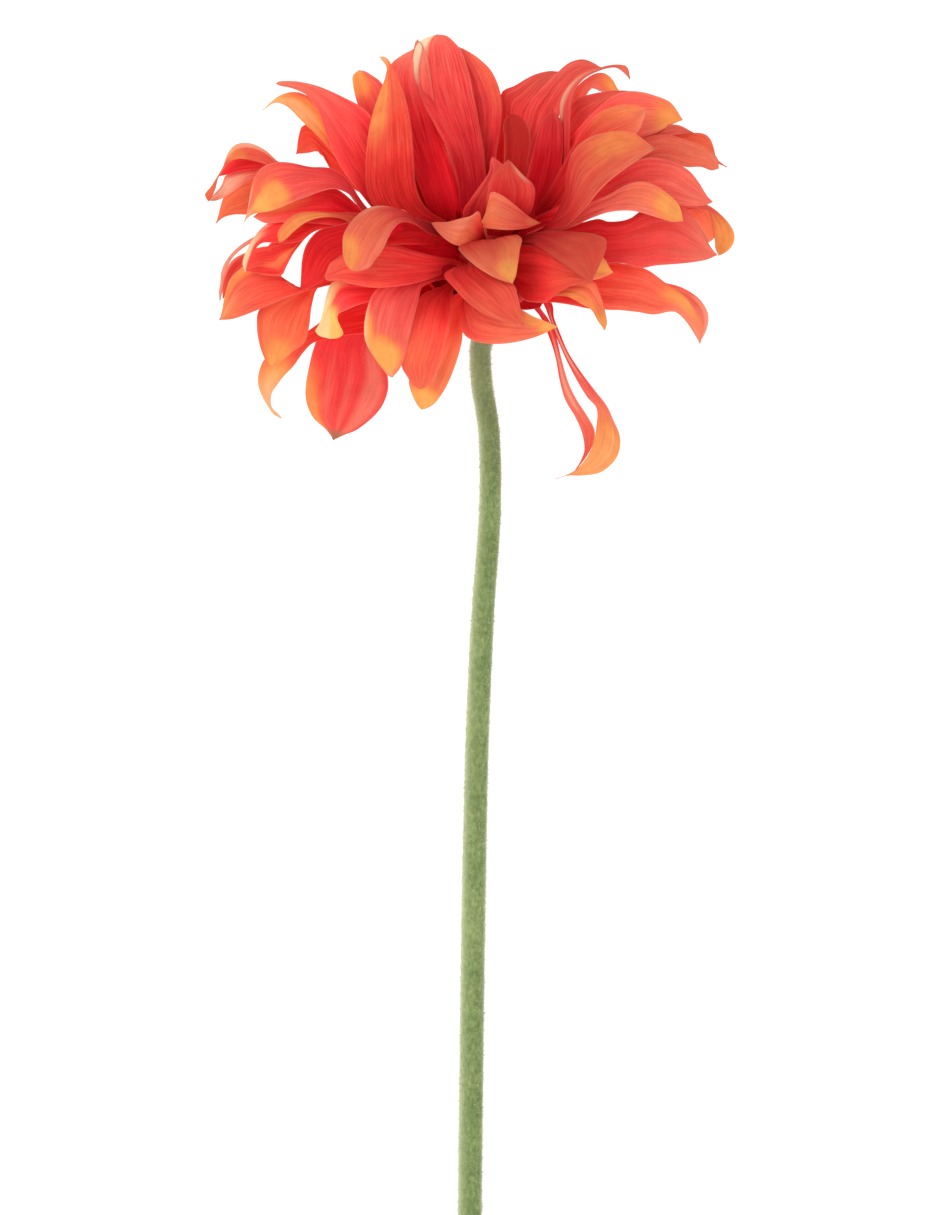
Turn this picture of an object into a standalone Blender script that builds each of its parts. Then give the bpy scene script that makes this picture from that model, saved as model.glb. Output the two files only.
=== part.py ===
"""A cut gerbera with one many-petalled red and orange bloom, laid down on a flat surface.

Lengths are in millimetres and are scaled to metres at the end of each mesh. The flower
lies along Y with its bloom at +Y. The bloom looks up and forward, so that it is seen from
straight above as a three-quarter view. Row origin: centre of the bounding box, on the
surface.

Four ideas make the bloom:
  - every petal is a thin waved blade that follows its own mid line from the receptacle
  - blades are split into triangles alike on both faces, so that they keep their thickness
  - petals sink well into a small core, and one Boolean union joins them
  - petals that only show from the back follow a rule with a seeded draw
"""

import math

import bmesh
import bpy
import numpy as np

MM = 0.001

# Where the bloom's centre lies, and how far the flower's axis leans up from the surface.
HEAD = np.array([3.66, 105.84, 38.0])
LEAN = math.radians(38.0)
AXIS = np.array([0.0, math.cos(LEAN), math.sin(LEAN)])
RIGHT = np.array([1.0, 0.0, 0.0])
FRONT = np.array([0.0, -math.sin(LEAN), math.cos(LEAN)])

# Petals.
BLADE = 0.8
BLADE_STEP = 9.5
FEWEST_STEPS = 4
BLADE_ACROSS = 2
TIP_HALF_WIDTH = 0.5
RING_RADIUS = (2.5, 5.0, 7.5, 9.0)
RING_HEIGHT = (1.0, -1.0, -4.0, -7.0)

# Core and cup: radius and height along the axis, from the outer foot inward or upward.
CORE = ((8.4, -8.5), (9.8, -6.5), (10.0, -2.0), (9.0, 2.5), (6.4, 6.2))
CORE_TOP = 8.0
CUP = ((2.5, -18.6), (3.5, -17.6), (5.4, -15.0), (6.5, -12.0), (7.0, -9.8), (6.6, -9.0))
SIDES = 16
BRACT_ROWS = ((10, -17.2, -12.2, 3.6), (12, -14.4, -10.0, 3.8))

# Stem: mid line and radius.
STEM = (
    (0.0, -15.3, -11.9, 2.3),
    (-0.5, -18.6, -14.2, 2.2),
    (0.0, -25.5, -18.0, 2.2),
    (0.8, -36.0, -22.0, 2.2),
    (0.8, -52.0, -26.0, 2.25),
    (-0.4, -72.0, -29.5, 2.3),
    (-1.6, -100.0, -32.4, 2.35),
    (-2.4, -140.0, -34.6, 2.4),
    (-3.0, -190.0, -35.5, 2.4),
    (-3.4, -225.0, -35.6, 2.4),
    (-3.6, -256.0, -35.6, 2.4),
)
STEM_SIDES = 14
STEM_STEPS = 26

# Ways that a petal's outline closes at its tip.
OVAL = (2.0, 0.7)
BLUNT = (3.0, 0.5)
POINTED = (1.4, 1.0)

# Ways that the upper face of a petal's outer part looks.
UPWARD = (0.0, 0.35, 0.94)
LEVEL = (0.0, 0.0, 1.0)
FORWARD = (0.0, -0.3, 1.0)

petals = []


def petal(ring, width, *mid_line, face=UPWARD, claw=0.45, peak=0.6, tip=OVAL, rise=1.0, turned=0.45, cup=0.2):
    """Lists one petal: its whorl from 0 inside to 3 outside, width, and mid line from the centre."""
    petals.append((ring, width, mid_line, face, claw, peak, tip, rise, turned, cup))


# Upright petals at the back of the bloom.
petal(1, 12.2, (-2.5, 14, 1), (-5.8, 24, -1), (-7.9, 33, -5), (-9.5, 39.5, -10), (-10.5, 43.9, -15), tip=BLUNT)
petal(2, 11.5, (0, 12, -4), (-0.5, 26, -10), (-3.3, 36, -15), (-7.5, 42.6, -19))
petal(2, 11, (-6, 12, -3), (-11.5, 26, -9), (-14.3, 35, -13), (-14, 42.4, -18), tip=BLUNT)
petal(1, 7.6, (-12, 8, 4), (-18.5, 17, 3), (-19.7, 24, 1), (-19.2, 30, -1), (-18.7, 35.5, -4), (-21, 40, -7), tip=POINTED)
petal(2, 9, (-10, 12, -8), (-17.5, 23, -11), (-22.3, 31, -13), (-25.6, 37, -15), tip=BLUNT)
petal(2, 10.5, (4, 9, -5), (5, 20, -8), (7, 28, -9.5), (10.6, 33.4, -12), (14.6, 36, -15))
petal(1, 9.4, (6, 8, 1), (9.5, 20, 0), (13.5, 29.5, -2), (17.2, 34.2, -4), (20.4, 36.2, -6), (23, 35.8, -8))
petal(1, 6, (7, 5, 5), (11.5, 14, 7), (14.8, 24, 6), (16.8, 32.5, 3.5), (21, 36.6, 1), (26.5, 37.8, -2), (29, 35.2, -4), face=(-0.5, 0.8, 0.25))
petal(2, 5.4, (8, 10, -3), (13.5, 22, -4), (18, 31.4, -6), (22.4, 34.9, -8), (26.6, 33, -11), tip=BLUNT)
petal(0, 8, (5, 5, 6), (9, 13, 7), (12, 21, 5), (13, 28, 2))

# Left side, from the top down.
petal(1, 9.6, (-13, 6, 5), (-21.5, 14, 6), (-26.5, 23, 4), (-32, 30.8, 1), (-41.4, 34.1, -3), tip=POINTED)
petal(1, 7, (-14, 5.4, 2), (-23.6, 14, 3), (-30.6, 23, 1), (-35.6, 29.6, -1), (-41, 31.5, -2), (-44.3, 29.2, -4), tip=POINTED)
petal(2, 7, (-14, 6, -2), (-24.5, 15, -3), (-31, 21.6, -5), (-34.9, 23.4, -7), (-37, 20.3, -9), peak=0.75, tip=BLUNT)
petal(2, 8.5, (-14, 6, 1), (-29, 12.5, 5), (-39, 16.6, 7), (-44, 18.9, 8), (-48.6, 19.8, 7.5), (-52, 17, 6.5), (-54.3, 13.8, 5.5), (-55.5, 11.2, 5), face=(-0.15, 0.9, 0.4))
petal(2, 6, (-15, 6, -1), (-30, 12, 2), (-40, 16, 3.5), (-46.5, 17.9, 4), (-50.5, 17.6, 3.5), (-53.4, 15.8, 3))
petal(2, 6.5, (-15, 5, -1), (-30, 11, 1), (-42, 15.3, 3), (-47.2, 14.9, 3), (-51, 13.2, 3), (-55.4, 10.9, 3), face=(0, 0.8, 0.6))
petal(3, 7.5, (-16, 3, -3), (-31, 9.5, -2), (-43, 12.5, -2.5), (-49.2, 11, -3.5), (-53.5, 6.6, -6))
petal(1, 11.2, (-11, 4, 9), (-19, 9, 13), (-28, 12.9, 14), (-36.5, 14.4, 14), (-43.2, 12.4, 12), (-48, 6.6, 8), face=(-0.1, 0.4, 0.9), peak=0.78, claw=0.3, rise=1.6, turned=0.9)
petal(2, 7, (-13, 3, 5), (-24, 8.6, 8), (-32, 10.6, 9), (-38, 9, 8), (-44, 6.4, 6))
petal(1, 7, (-11, 3, 9), (-23.5, 7.4, 13.5), (-31, 7.8, 14), (-36, 6.4, 13), (-41.3, 2.9, 10), face=(0, 0.93, 0.36), peak=0.7, claw=0.35)
petal(2, 8, (-13, 2, 6), (-26, 6.8, 9), (-35, 6.5, 10), (-42, 4.6, 9), (-46, 1, 8), (-48.2, -3.4, 6), face=(0, 0.45, 0.9), peak=0.5, tip=POINTED)
petal(3, 5, (-16, 1, -1), (-32, 4.5, 1), (-42.6, 4, 2), (-48.5, 1.7, 1), (-51.9, -2.2, -1), (-53, -9, -4), face=(-0.5, 0.85, 0.15))
petal(3, 6, (-16, 0.5, -2), (-32, 3, 0), (-42, 2.2, 0), (-48, -1.4, -1), (-51.1, -5, -3), (-52.3, -9, -6))
petal(2, 12, (-14, 3, 1), (-24, 5.4, 4), (-32, 5.2, 5), (-38.4, 1.6, 4.5), (-43.3, -3.2, 3), (-48.6, -7.6, 0), (-53, -13.1, -5), face=(0, 0.4, 0.9), claw=0.3, peak=0.74, rise=1.3)
petal(1, 11, (-9, 3, 11), (-17, 6.5, 17), (-25.5, 6.3, 19), (-31.3, 2.6, 18), (-34.3, -2, 16), (-36.9, -6.2, 13), face=(-0.3, 0.3, 0.9))
petal(0, 8.6, (-8, 4, 14), (-13.5, 6.8, 19), (-18, 8, 23), (-21.5, 7, 26), (-23.4, 4, 27), (-24.5, 0, 26.5), (-26.2, -3.5, 25), face=(-0.2, 0.2, 0.95), claw=0.5, tip=BLUNT)
petal(2, 10.8, (-12, -1, 0), (-24, -2.6, 2), (-33, -4.8, 3), (-38, -8, 2), (-40.2, -13, 0), (-41, -17.5, -3), (-43, -21.9, -6), face=(0, 0.2, 0.98))
petal(3, 6, (-11, -6, -6), (-21, -11, -8), (-29.2, -13.4, -9), (-33.2, -15.4, -9), (-37, -18.6, -11), (-41, -22.6, -13), (-43.6, -26, -16), (-43.4, -29.4, -18), (-40.8, -32.5, -20), peak=0.45, face=LEVEL, tip=POINTED)
petal(2, 7.5, (-8, -2, 8), (-16, -5.5, 12), (-23, -7.8, 13), (-28.5, -9, 12), (-31, -12.5, 9.5), (-30.6, -16.4, 7), face=(-0.2, 0.3, 0.93))
petal(1, 9.2, (-6, -1, 14), (-12, -2.2, 19), (-19, -3, 21), (-25.5, -3.3, 20), (-32, -4.9, 18), face=(0, 0.3, 0.95), tip=BLUNT)

# Front, hanging toward the stem.
petal(3, 17.6, (-7, -7, -12), (-17, -10.5, -20), (-25.4, -15.5, -27), (-28.2, -22, -32), (-28.8, -29, -35.5), (-30.1, -37, -37.6), face=LEVEL, cup=0.12, tip=BLUNT, peak=0.58)
petal(2, 10.2, (-5, -3, 12), (-11.5, -4.2, 17.5), (-17, -6, 19.5), (-19, -11.5, 19), (-19.6, -18, 17.5), (-18.7, -24.4, 15), face=FORWARD, claw=0.5)
petal(2, 9.5, (-4, -4, 11), (-7.5, -6.5, 16.5), (-9.3, -10, 18), (-10.5, -14.5, 17), (-11.8, -20, 15), (-12.5, -26.6, 12.5), face=FORWARD, claw=0.55)
petal(3, 9, (-1, -6, 7), (-4.5, -10, 11.5), (-8.2, -15, 12.5), (-10, -20, 11.5), (-11.6, -25, 9.5), (-12.4, -31, 6.5), face=FORWARD, claw=0.5)
petal(1, 8.4, (-5, -1, 16), (-5, -3.4, 20.5), (-1.5, -6.2, 23.5), (3, -9.2, 24), (7.1, -13.6, 23), face=LEVEL, claw=0.6)
petal(2, 6.8, (-3, -5, 10), (-5, -8.5, 15.5), (-4, -12.5, 18), (0.5, -15, 18.5), (6, -15.2, 18), (14.4, -14, 15.5), face=LEVEL)

# Short petals round the centre.
petal(0, 7.6, (0.5, 4, 12), (0.8, 5.3, 18), (-1.5, 5.2, 20.5), (-5.5, 5.4, 21), (-10.9, 6.6, 20.3), face=LEVEL, cup=0.1, peak=0.5, claw=0.6, tip=POINTED)
petal(0, 8, (1, 5, 10), (0, 8.5, 16), (1.5, 9.3, 19.5), (5, 8, 20.5), (11, 6.4, 19.5), face=LEVEL, cup=0.1, peak=0.45, claw=0.6, tip=POINTED)
petal(0, 9.8, (3, 2, 8), (4.8, 8, 14), (5.5, 13, 15.5), (4.5, 19, 14.5), face=LEVEL, cup=0.1, claw=0.6, tip=POINTED)
petal(0, 8, (-1, 2, 5), (-0.6, 8.5, 11), (1.2, 14, 12.5), (1.3, 19.6, 11.5), face=LEVEL, cup=0.1, peak=0.45, tip=POINTED)
petal(0, 6.3, (4.5, 8, 2), (6, 16, 4.5), (6.4, 22, 5), (5.4, 27.9, 2.5), face=LEVEL, claw=0.65, tip=BLUNT)
petal(0, 14, (1.5, 4, 12), (1.6, 3.6, 19), (2.3, 1.7, 23.5), (3.8, -1.5, 25), (5.6, -5.8, 24.3), face=LEVEL, cup=0.1, claw=0.8, peak=0.5, tip=OVAL)

# Right side, from the bottom up.
petal(1, 10.6, (3, 1.5, 13), (8, 0.6, 19), (13.5, -0.2, 21.5), (19, 0, 21.5), (24.3, 0.6, 19.5), face=LEVEL, claw=0.6, tip=BLUNT)
petal(1, 8, (3.5, -2, 13), (6.5, -4.5, 17.5), (11.5, -6, 19), (16.5, -6, 18.5), (21, -5.4, 17), face=LEVEL, claw=0.6)
petal(1, 6, (7, 0, 10), (14, -1.2, 15), (20.5, -2, 15.5), (26.1, -3.3, 14))
petal(2, 5.6, (4, -4, 10), (9, -6, 14), (14.5, -6.9, 15.5), (18.5, -7, 16), (21.5, -9, 15), (23.9, -14.9, 12), face=LEVEL, peak=0.7, tip=POINTED)
petal(2, 9.2, (8, -2.5, 2), (17, -5.4, 5), (25, -6.6, 6), (31.4, -7.4, 5.5), (36.8, -9.4, 3), (40.9, -13, 0), (43.1, -17.5, -3), claw=0.55, peak=0.5, tip=POINTED, face=(0, 0.2, 0.98))
petal(3, 5.4, (8, -1, -3), (20, -3.6, 0), (30, -5.4, 1), (37, -7.6, 0), (42, -11, -2.5), (43.7, -13.8, -5), (43.1, -17.3, -7))
petal(1, 11.8, (8, 1.6, 8), (17, 2.2, 12), (26, 2.2, 12.5), (34, 2.8, 11.5), (40.5, 2.5, 9), (46.2, 0, 6), peak=0.72, claw=0.42)
petal(1, 7.6, (7, 2, 11), (14, 5.5, 16), (21, 9, 18.5), (27.5, 11, 18.5), (33.5, 10.8, 17), (37.5, 9, 15.5), (39.5, 6.6, 13.5))
petal(1, 8.6, (9, 5, 7), (18, 11, 12), (26, 15, 13.5), (32.6, 16.1, 12.5), (38.8, 14.2, 10), (45.2, 10.6, 7), peak=0.65)
petal(2, 5.4, (10, 2, 1), (21, 3.8, 3), (30, 5.8, 5), (37.5, 8.8, 5.5), (44.4, 8.5, 4.5), (46.9, 5.3, 2.5), (47.6, 2.4, 1), (46.4, 0, 0), peak=0.8, claw=0.35, tip=BLUNT)
petal(3, 5.5, (10, 2, -1), (21, 3.6, 1), (30, 5.6, 3), (38, 8.8, 4), (43.4, 7, 2), (45.2, 2.8, 0), claw=0.35, peak=0.7, tip=BLUNT)
petal(1, 7.6, (11, 8, 5), (16, 16, 9.5), (20.5, 22.4, 12), (25.6, 26, 12), (29.6, 26, 10.5), (31, 23.8, 8), peak=0.7, tip=BLUNT)
petal(2, 8, (8, 12, -4), (13, 21, -3), (17.5, 27, -2), (23, 29.9, -2), (29.5, 31.4, -4))
petal(0, 9.8, (7, 2, 12), (13.5, 5.5, 18), (17.5, 9.5, 21), (20.2, 14.8, 22.5), (24.5, 19.3, 21.5), (29, 21.4, 19), (34, 21.2, 15.5))
petal(1, 9.4, (9, 10, 0), (15, 19.4, 4), (21, 25.6, 5), (27.5, 28.2, 5), (33.6, 28, 4), (39.4, 27, 1), peak=0.68)
petal(2, 7, (11, 9, 0), (22, 17, 3), (31, 22, 4), (37, 23.8, 4), (42, 23.7, 3))
petal(1, 7, (11, 7, 5), (22, 14, 9), (30, 18.6, 9.5), (37, 20, 9), (42, 19.2, 7), (46.6, 17.4, 4), tip=BLUNT)
petal(2, 5.4, (11, 8, 0), (24, 17, 4), (34, 22, 5), (41, 23.4, 4), (45, 22.2, 3), (46.5, 19.5, 2), (48.2, 17.6, 1), peak=0.65, tip=POINTED)

# The petal that is torn lengthwise hangs below in two strips.
petal(3, 2.5, (8, -5, -8), (11.2, -9.8, -14), (13.3, -13, -18), (15.4, -21, -25), (18.4, -29.6, -31), (20.8, -36.6, -35), (20.6, -39.8, -36.8), (18.6, -42.6, -37.4), face=LEVEL, cup=0.1, claw=0.85, tip=BLUNT)
petal(3, 4.9, (8, -5, -8), (12, -9.8, -14), (14.6, -15.4, -19), (16.1, -19, -22), (18.1, -22.6, -25.5), (23, -30.2, -31), (25, -37.2, -35), (20.6, -42.6, -37), (14.4, -44.7, -37.6), face=LEVEL, cup=0.1, claw=0.3, peak=0.8, rise=2.0, tip=OVAL)


def list_back_petals():
    """Lists the petals under the bloom, which only show from behind, and of which three reach the surface."""
    draw = np.random.default_rng(7)
    for ring, angles, reach, drop in ((3, (228, 246, 264, 282, 300, 318), 43.0, 5.0), (2, (237, 255, 273, 291, 309), 39.0, 1.0)):
        for angle in angles:
            turn = math.radians(angle)
            out = math.cos(turn) * RIGHT + math.sin(turn) * FRONT
            long = reach + draw.uniform(-1.0, 1.0)
            line = [out * long * share + AXIS * rise for share, rise in ((0.42, -1.0), (0.72, 0.0), (1.0, -drop))]
            lowest = min(point[2] for point in line)
            if lowest < BLADE / 2 - HEAD[2] + 0.1:
                line[-1] = line[-1] + AXIS * (BLADE / 2 - HEAD[2] + 0.1 - lowest) / AXIS[2]
            petal(ring, 9.5 + draw.uniform(-0.5, 0.5), *line, face=None)


def unit(vectors):
    return vectors / np.maximum(np.linalg.norm(vectors, axis=-1, keepdims=True), 1e-9)


def eased(x):
    x = np.clip(x, 0.0, 1.0)
    return x * x * (3.0 - 2.0 * x)


def smooth_line(points, steps):
    """Evenly spaced points on a smooth curve through the given ones."""
    p = np.array(points, float)
    ends = np.vstack([2 * p[0] - p[1], p, 2 * p[-1] - p[-2]])
    t = np.linspace(0.0, 1.0, 12, endpoint=False)[:, None]
    spans = []
    for a, b, c, d in zip(ends, ends[1:], ends[2:], ends[3:]):
        spans.append(0.5 * (2 * b + (c - a) * t + (2 * a - 5 * b + 4 * c - d) * t**2 + (3 * b - a - 3 * c + d) * t**3))
    fine = np.vstack(spans + [p[-1:]])
    run = np.concatenate([[0.0], np.cumsum(np.linalg.norm(np.diff(fine, axis=0), axis=1))])
    at = np.linspace(0.0, run[-1], steps + 1)
    return np.column_stack([np.interp(at, run, fine[:, k]) for k in range(p.shape[1])])


def blade_surface(ring, width, mid_line, face, claw, peak, tip, rise, turned, cup):
    """Mid surface of a petal as a grid of points from base to tip, and its upward directions."""
    first = np.array(mid_line[0], float)
    out = unit(first - AXIS * (first @ AXIS))
    base = AXIS * RING_HEIGHT[ring] + out * RING_RADIUS[ring]
    line = np.array([base, *mid_line], float)
    steps = max(FEWEST_STEPS, round(np.linalg.norm(np.diff(line, axis=0), axis=1).sum() / BLADE_STEP))
    centre = smooth_line(line, steps)
    t = np.linspace(0.0, 1.0, steps + 1)
    along = unit(np.gradient(centre, axis=0))
    side = np.cross(AXIS, out)
    across = unit(side - (along @ side)[:, None] * along)
    if face is not None:
        wanted = np.array(face, float)
        wanted = unit(wanted - (along @ wanted)[:, None] * along)
        share = eased(t / turned)[:, None]
        across = unit(across * (1.0 - share) + np.cross(wanted, along) * share)
    up = unit(np.cross(along, across))
    swell = claw + (1.0 - claw) * eased(t / peak) ** rise
    close = (1.0 - np.clip((t - peak) / (1.0 - peak), 0.0, 1.0) ** tip[0]) ** tip[1]
    half = np.maximum(swell * close * width / 2.0, TIP_HALF_WIDTH)
    v = np.linspace(-1.0, 1.0, BLADE_ACROSS + 1)
    grid = centre[:, None] + across[:, None] * (half[:, None] * v)[..., None]
    return grid + up[:, None] * (cup * half[:, None] * v**2)[..., None]


def grid_normals(grid):
    return unit(np.cross(np.gradient(grid, axis=0), np.gradient(grid, axis=1)))


def blade_mesh(name, grid, thickness):
    """A closed blade round a mid surface, split into triangles alike on both faces."""
    rows, columns = grid.shape[:2]
    lift = grid_normals(grid) * thickness / 2.0
    points = np.vstack([(grid + lift).reshape(-1, 3), (grid - lift).reshape(-1, 3)])
    lower = rows * columns
    number = np.arange(lower).reshape(rows, columns)
    faces = []
    for i in range(rows - 1):
        for j in range(columns - 1):
            a, b, c, d = number[i, j], number[i + 1, j], number[i + 1, j + 1], number[i, j + 1]
            triangles = ((a, b, c), (a, c, d)) if j < (columns - 1) / 2 else ((a, b, d), (b, c, d))
            for x, y, z in triangles:
                faces.append((x, y, z))
                faces.append((lower + x, lower + z, lower + y))
    rim = [*number[0, ::-1], *number[1:, 0], *number[-1, 1:], *number[-2:0:-1, -1]]
    for a, b in zip(rim, rim[1:] + rim[:1]):
        faces.append((a, lower + b, b))
        faces.append((a, lower + a, lower + b))
    return new_object(name, points, faces)


def new_object(name, points, faces):
    mesh = bpy.data.meshes.new(name)
    mesh.from_pydata([tuple((np.array(p) + HEAD) * MM) for p in points], [], [tuple(int(k) for k in f) for f in faces])
    body = bmesh.new()
    body.from_mesh(mesh)
    bmesh.ops.recalc_face_normals(body, faces=body.faces)
    body.to_mesh(mesh)
    body.free()
    made = bpy.data.objects.new(name, mesh)
    bpy.context.scene.collection.objects.link(made)
    return made


def turned_body(name, profile, centre_low, centre_high, sides):
    """A body turned round the flower's axis from radius and height pairs, low to high."""
    points = [AXIS * centre_low]
    for radius, height in profile:
        for k in range(sides):
            turn = 2.0 * math.pi * k / sides
            points.append(AXIS * height + radius * (math.cos(turn) * RIGHT + math.sin(turn) * FRONT))
    points.append(AXIS * centre_high)
    last = len(points) - 1
    faces = []
    for k in range(sides):
        n = (k + 1) % sides
        faces.append((0, 1 + n, 1 + k))
        for level in range(len(profile) - 1):
            low, high = 1 + level * sides, 1 + (level + 1) * sides
            faces.append((low + k, low + n, high + n))
            faces.append((low + k, high + n, high + k))
        top = 1 + (len(profile) - 1) * sides
        faces.append((top + k, top + n, last))
    return new_object(name, points, faces)


def join_all(host, others):
    """Joins the other bodies to the host with one Boolean union, applies it, and removes them."""
    group = bpy.data.collections.new(host.name + "_parts")
    bpy.context.scene.collection.children.link(group)
    for other in others:
        bpy.context.scene.collection.objects.unlink(other)
        group.objects.link(other)
    join = host.modifiers.new("join", "BOOLEAN")
    join.operation = "UNION"
    join.operand_type = "COLLECTION"
    join.collection = group
    join.solver = "MANIFOLD"
    graph = bpy.context.evaluated_depsgraph_get()
    mesh = bpy.data.meshes.new_from_object(host.evaluated_get(graph))
    host.modifiers.clear()
    host.data = mesh
    for other in others:
        bpy.data.objects.remove(other)
    bpy.data.collections.remove(group)
    keep_largest(host)
    return host


def keep_largest(host):
    """Drops loose scraps and sealed hollows, and joins points that lie together."""
    body = bmesh.new()
    body.from_mesh(host.data)
    bmesh.ops.remove_doubles(body, verts=body.verts, dist=2e-6)
    bmesh.ops.triangulate(body, faces=body.faces)
    unseen = set(body.faces)
    pieces = []
    while unseen:
        stack = [unseen.pop()]
        piece = list(stack)
        while stack:
            for edge in stack.pop().edges:
                for linked in edge.link_faces:
                    if linked in unseen:
                        unseen.remove(linked)
                        stack.append(linked)
                        piece.append(linked)
        pieces.append(piece)
    pieces.sort(key=len)
    scraps = [face for piece in pieces[:-1] for face in piece]
    bmesh.ops.delete(body, geom=scraps, context="FACES")
    body.to_mesh(host.data)
    body.free()


def build_bloom():
    list_back_petals()
    core = turned_body("bloom", CORE, CORE[0][1], CORE_TOP, SIDES)
    blades = [blade_mesh(f"petal_{number}", blade_surface(*one), BLADE) for number, one in enumerate(petals)]
    return join_all(core, blades)


def build_involucre():
    """The cup under the bloom with two rows of pointed bracts that lie on it."""
    cup = turned_body("involucre", CUP, CUP[0][1], CUP[-1][1], SIDES)
    radii, heights = [r for r, _ in CUP[:-1]], [h for _, h in CUP[:-1]]
    bracts = []
    for row, (count, low, high, width) in enumerate(BRACT_ROWS):
        for k in range(count):
            turn = 2.0 * math.pi * (k + 0.5 * row) / count
            out = math.cos(turn) * RIGHT + math.sin(turn) * FRONT
            side = np.cross(AXIS, out)
            steps = 3
            grid = []
            for step in range(steps + 1):
                t = step / steps
                height = low + (high - low) * t
                radius = np.interp(height, heights, radii) + 0.05 + 0.55 * t**2
                half = max(width / 2.0 * (0.6 + 0.8 * t) * (1.0 - t**2.4), 0.5)
                grid.append([AXIS * height + out * radius + side * half * v for v in (-1.0, 1.0)])
            bracts.append(blade_mesh(f"bract_{row}_{k}", np.array(grid), 0.8))
    return join_all(cup, bracts)


def build_stem():
    """The round stem, bent up to the bloom at one end and cut square at the other."""
    line = smooth_line(STEM, STEM_STEPS)
    along = unit(np.gradient(line[:, :3], axis=0))
    along[0] = -AXIS
    points, faces = [line[0, :3]], []
    for centre, direction, radius in zip(line[:, :3], along, line[:, 3]):
        side = unit(np.cross(direction, (0.0, 0.0, 1.0)))
        up = np.cross(side, direction)
        for k in range(STEM_SIDES):
            turn = 2.0 * math.pi * (k + 0.5) / STEM_SIDES
            points.append(centre + radius * (math.cos(turn) * side + math.sin(turn) * up))
    points.append(line[-1, :3])
    last = len(points) - 1
    for k in range(STEM_SIDES):
        n = (k + 1) % STEM_SIDES
        faces.append((0, 1 + n, 1 + k))
        for step in range(STEM_STEPS):
            low, high = 1 + step * STEM_SIDES, 1 + (step + 1) * STEM_SIDES
            faces.append((low + k, low + n, high + n))
            faces.append((low + k, high + n, high + k))
        top = 1 + STEM_STEPS * STEM_SIDES
        faces.append((top + k, top + n, last))
    return new_object("stem", points, faces)


def paint(target, name, colour, roughness):
    material = bpy.data.materials.new(name)
    material.use_nodes = True
    shader = material.node_tree.nodes["Principled BSDF"]
    shader.inputs["Base Color"].default_value = (*colour, 1.0)
    shader.inputs["Roughness"].default_value = roughness
    target.data.materials.clear()
    target.data.materials.append(material)


def main():
    for old in list(bpy.data.objects):
        bpy.data.objects.remove(old)
    bloom = build_bloom()
    involucre = build_involucre()
    stem = build_stem()
    paint(bloom, "petal red", (0.80, 0.045, 0.025), 0.55)
    paint(involucre, "bract green", (0.13, 0.20, 0.045), 0.7)
    paint(stem, "stem green", (0.20, 0.25, 0.07), 0.7)


main()
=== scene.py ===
"""Looks of a cut gerbera with a many-petalled red and orange bloom, laid down and seen from above.

Lengths are in millimetres until a mesh is made. The stem lies along Y with its bloom at +Y,
and every place is counted from the bloom's centre, HEAD, which is where the frame has it.
"""

import math

import bpy
import numpy as np
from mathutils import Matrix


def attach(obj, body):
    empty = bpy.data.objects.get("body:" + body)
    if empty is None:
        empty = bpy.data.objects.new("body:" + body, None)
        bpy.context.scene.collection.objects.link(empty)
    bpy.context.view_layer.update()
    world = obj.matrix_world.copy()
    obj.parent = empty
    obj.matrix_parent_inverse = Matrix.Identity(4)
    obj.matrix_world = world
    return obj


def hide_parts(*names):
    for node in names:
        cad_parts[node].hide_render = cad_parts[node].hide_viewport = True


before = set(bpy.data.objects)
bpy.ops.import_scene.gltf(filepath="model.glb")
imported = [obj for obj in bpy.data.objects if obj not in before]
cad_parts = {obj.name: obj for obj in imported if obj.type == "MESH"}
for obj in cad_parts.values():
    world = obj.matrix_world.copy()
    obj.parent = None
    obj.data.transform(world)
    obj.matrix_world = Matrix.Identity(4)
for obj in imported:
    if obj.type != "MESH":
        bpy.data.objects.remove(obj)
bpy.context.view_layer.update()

# The stem
# One bare scape, round, slightly bent and cut square at its lower end. Its skin is olive green and
# browner near the bloom, with painted light along both sides, under a dense coat of short pale
# raised hairs.

MM = 0.001
HEAD = np.array([3.66, 105.84, 38.0])
LEAN = math.radians(38.0)
AXIS = np.array([0.0, math.cos(LEAN), math.sin(LEAN)])
RIGHT = np.array([1.0, 0.0, 0.0])
FRONT = np.array([0.0, -math.sin(LEAN), math.cos(LEAN)])
STEM_LINE = (
    (0.0, -15.3, -11.9, 2.3),
    (-0.9, -18.6, -14.2, 2.15),
    (-0.6, -25.5, -18.0, 2.15),
    (0.9, -36.0, -22.0, 2.15),
    (1.0, -52.0, -26.0, 2.2),
    (-0.4, -72.0, -29.5, 2.3),
    (-1.6, -100.0, -32.4, 2.35),
    (-2.4, -140.0, -34.6, 2.4),
    (-3.0, -190.0, -35.5, 2.4),
    (-3.4, -225.0, -35.6, 2.4),
    (-3.6, -256.0, -35.6, 2.4),
)
STEM_SIDES = 40
STEM_STEPS = 420
STEM_HAIRS = 15000
HAIR_LENGTH = (0.35, 0.75)
HAIR_WIDTH = 0.045
HAIR_ROOT = 0.05
HAIR_LEAN = 0.45
FLOOR_GAP = 0.05
STEM_RIBS = 7
STEM_RIB_SHARE = 0.006
# Painted light on the stem's left and right sides as seen from above: angle, spread in degrees, amount.
PAINTED_SIDE_LIGHT = ((0.0, 48.0, 0.85), (180.0, 24.0, 0.5))


def unit(vectors):
    return vectors / np.maximum(np.linalg.norm(vectors, axis=-1, keepdims=True), 1e-9)


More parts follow.
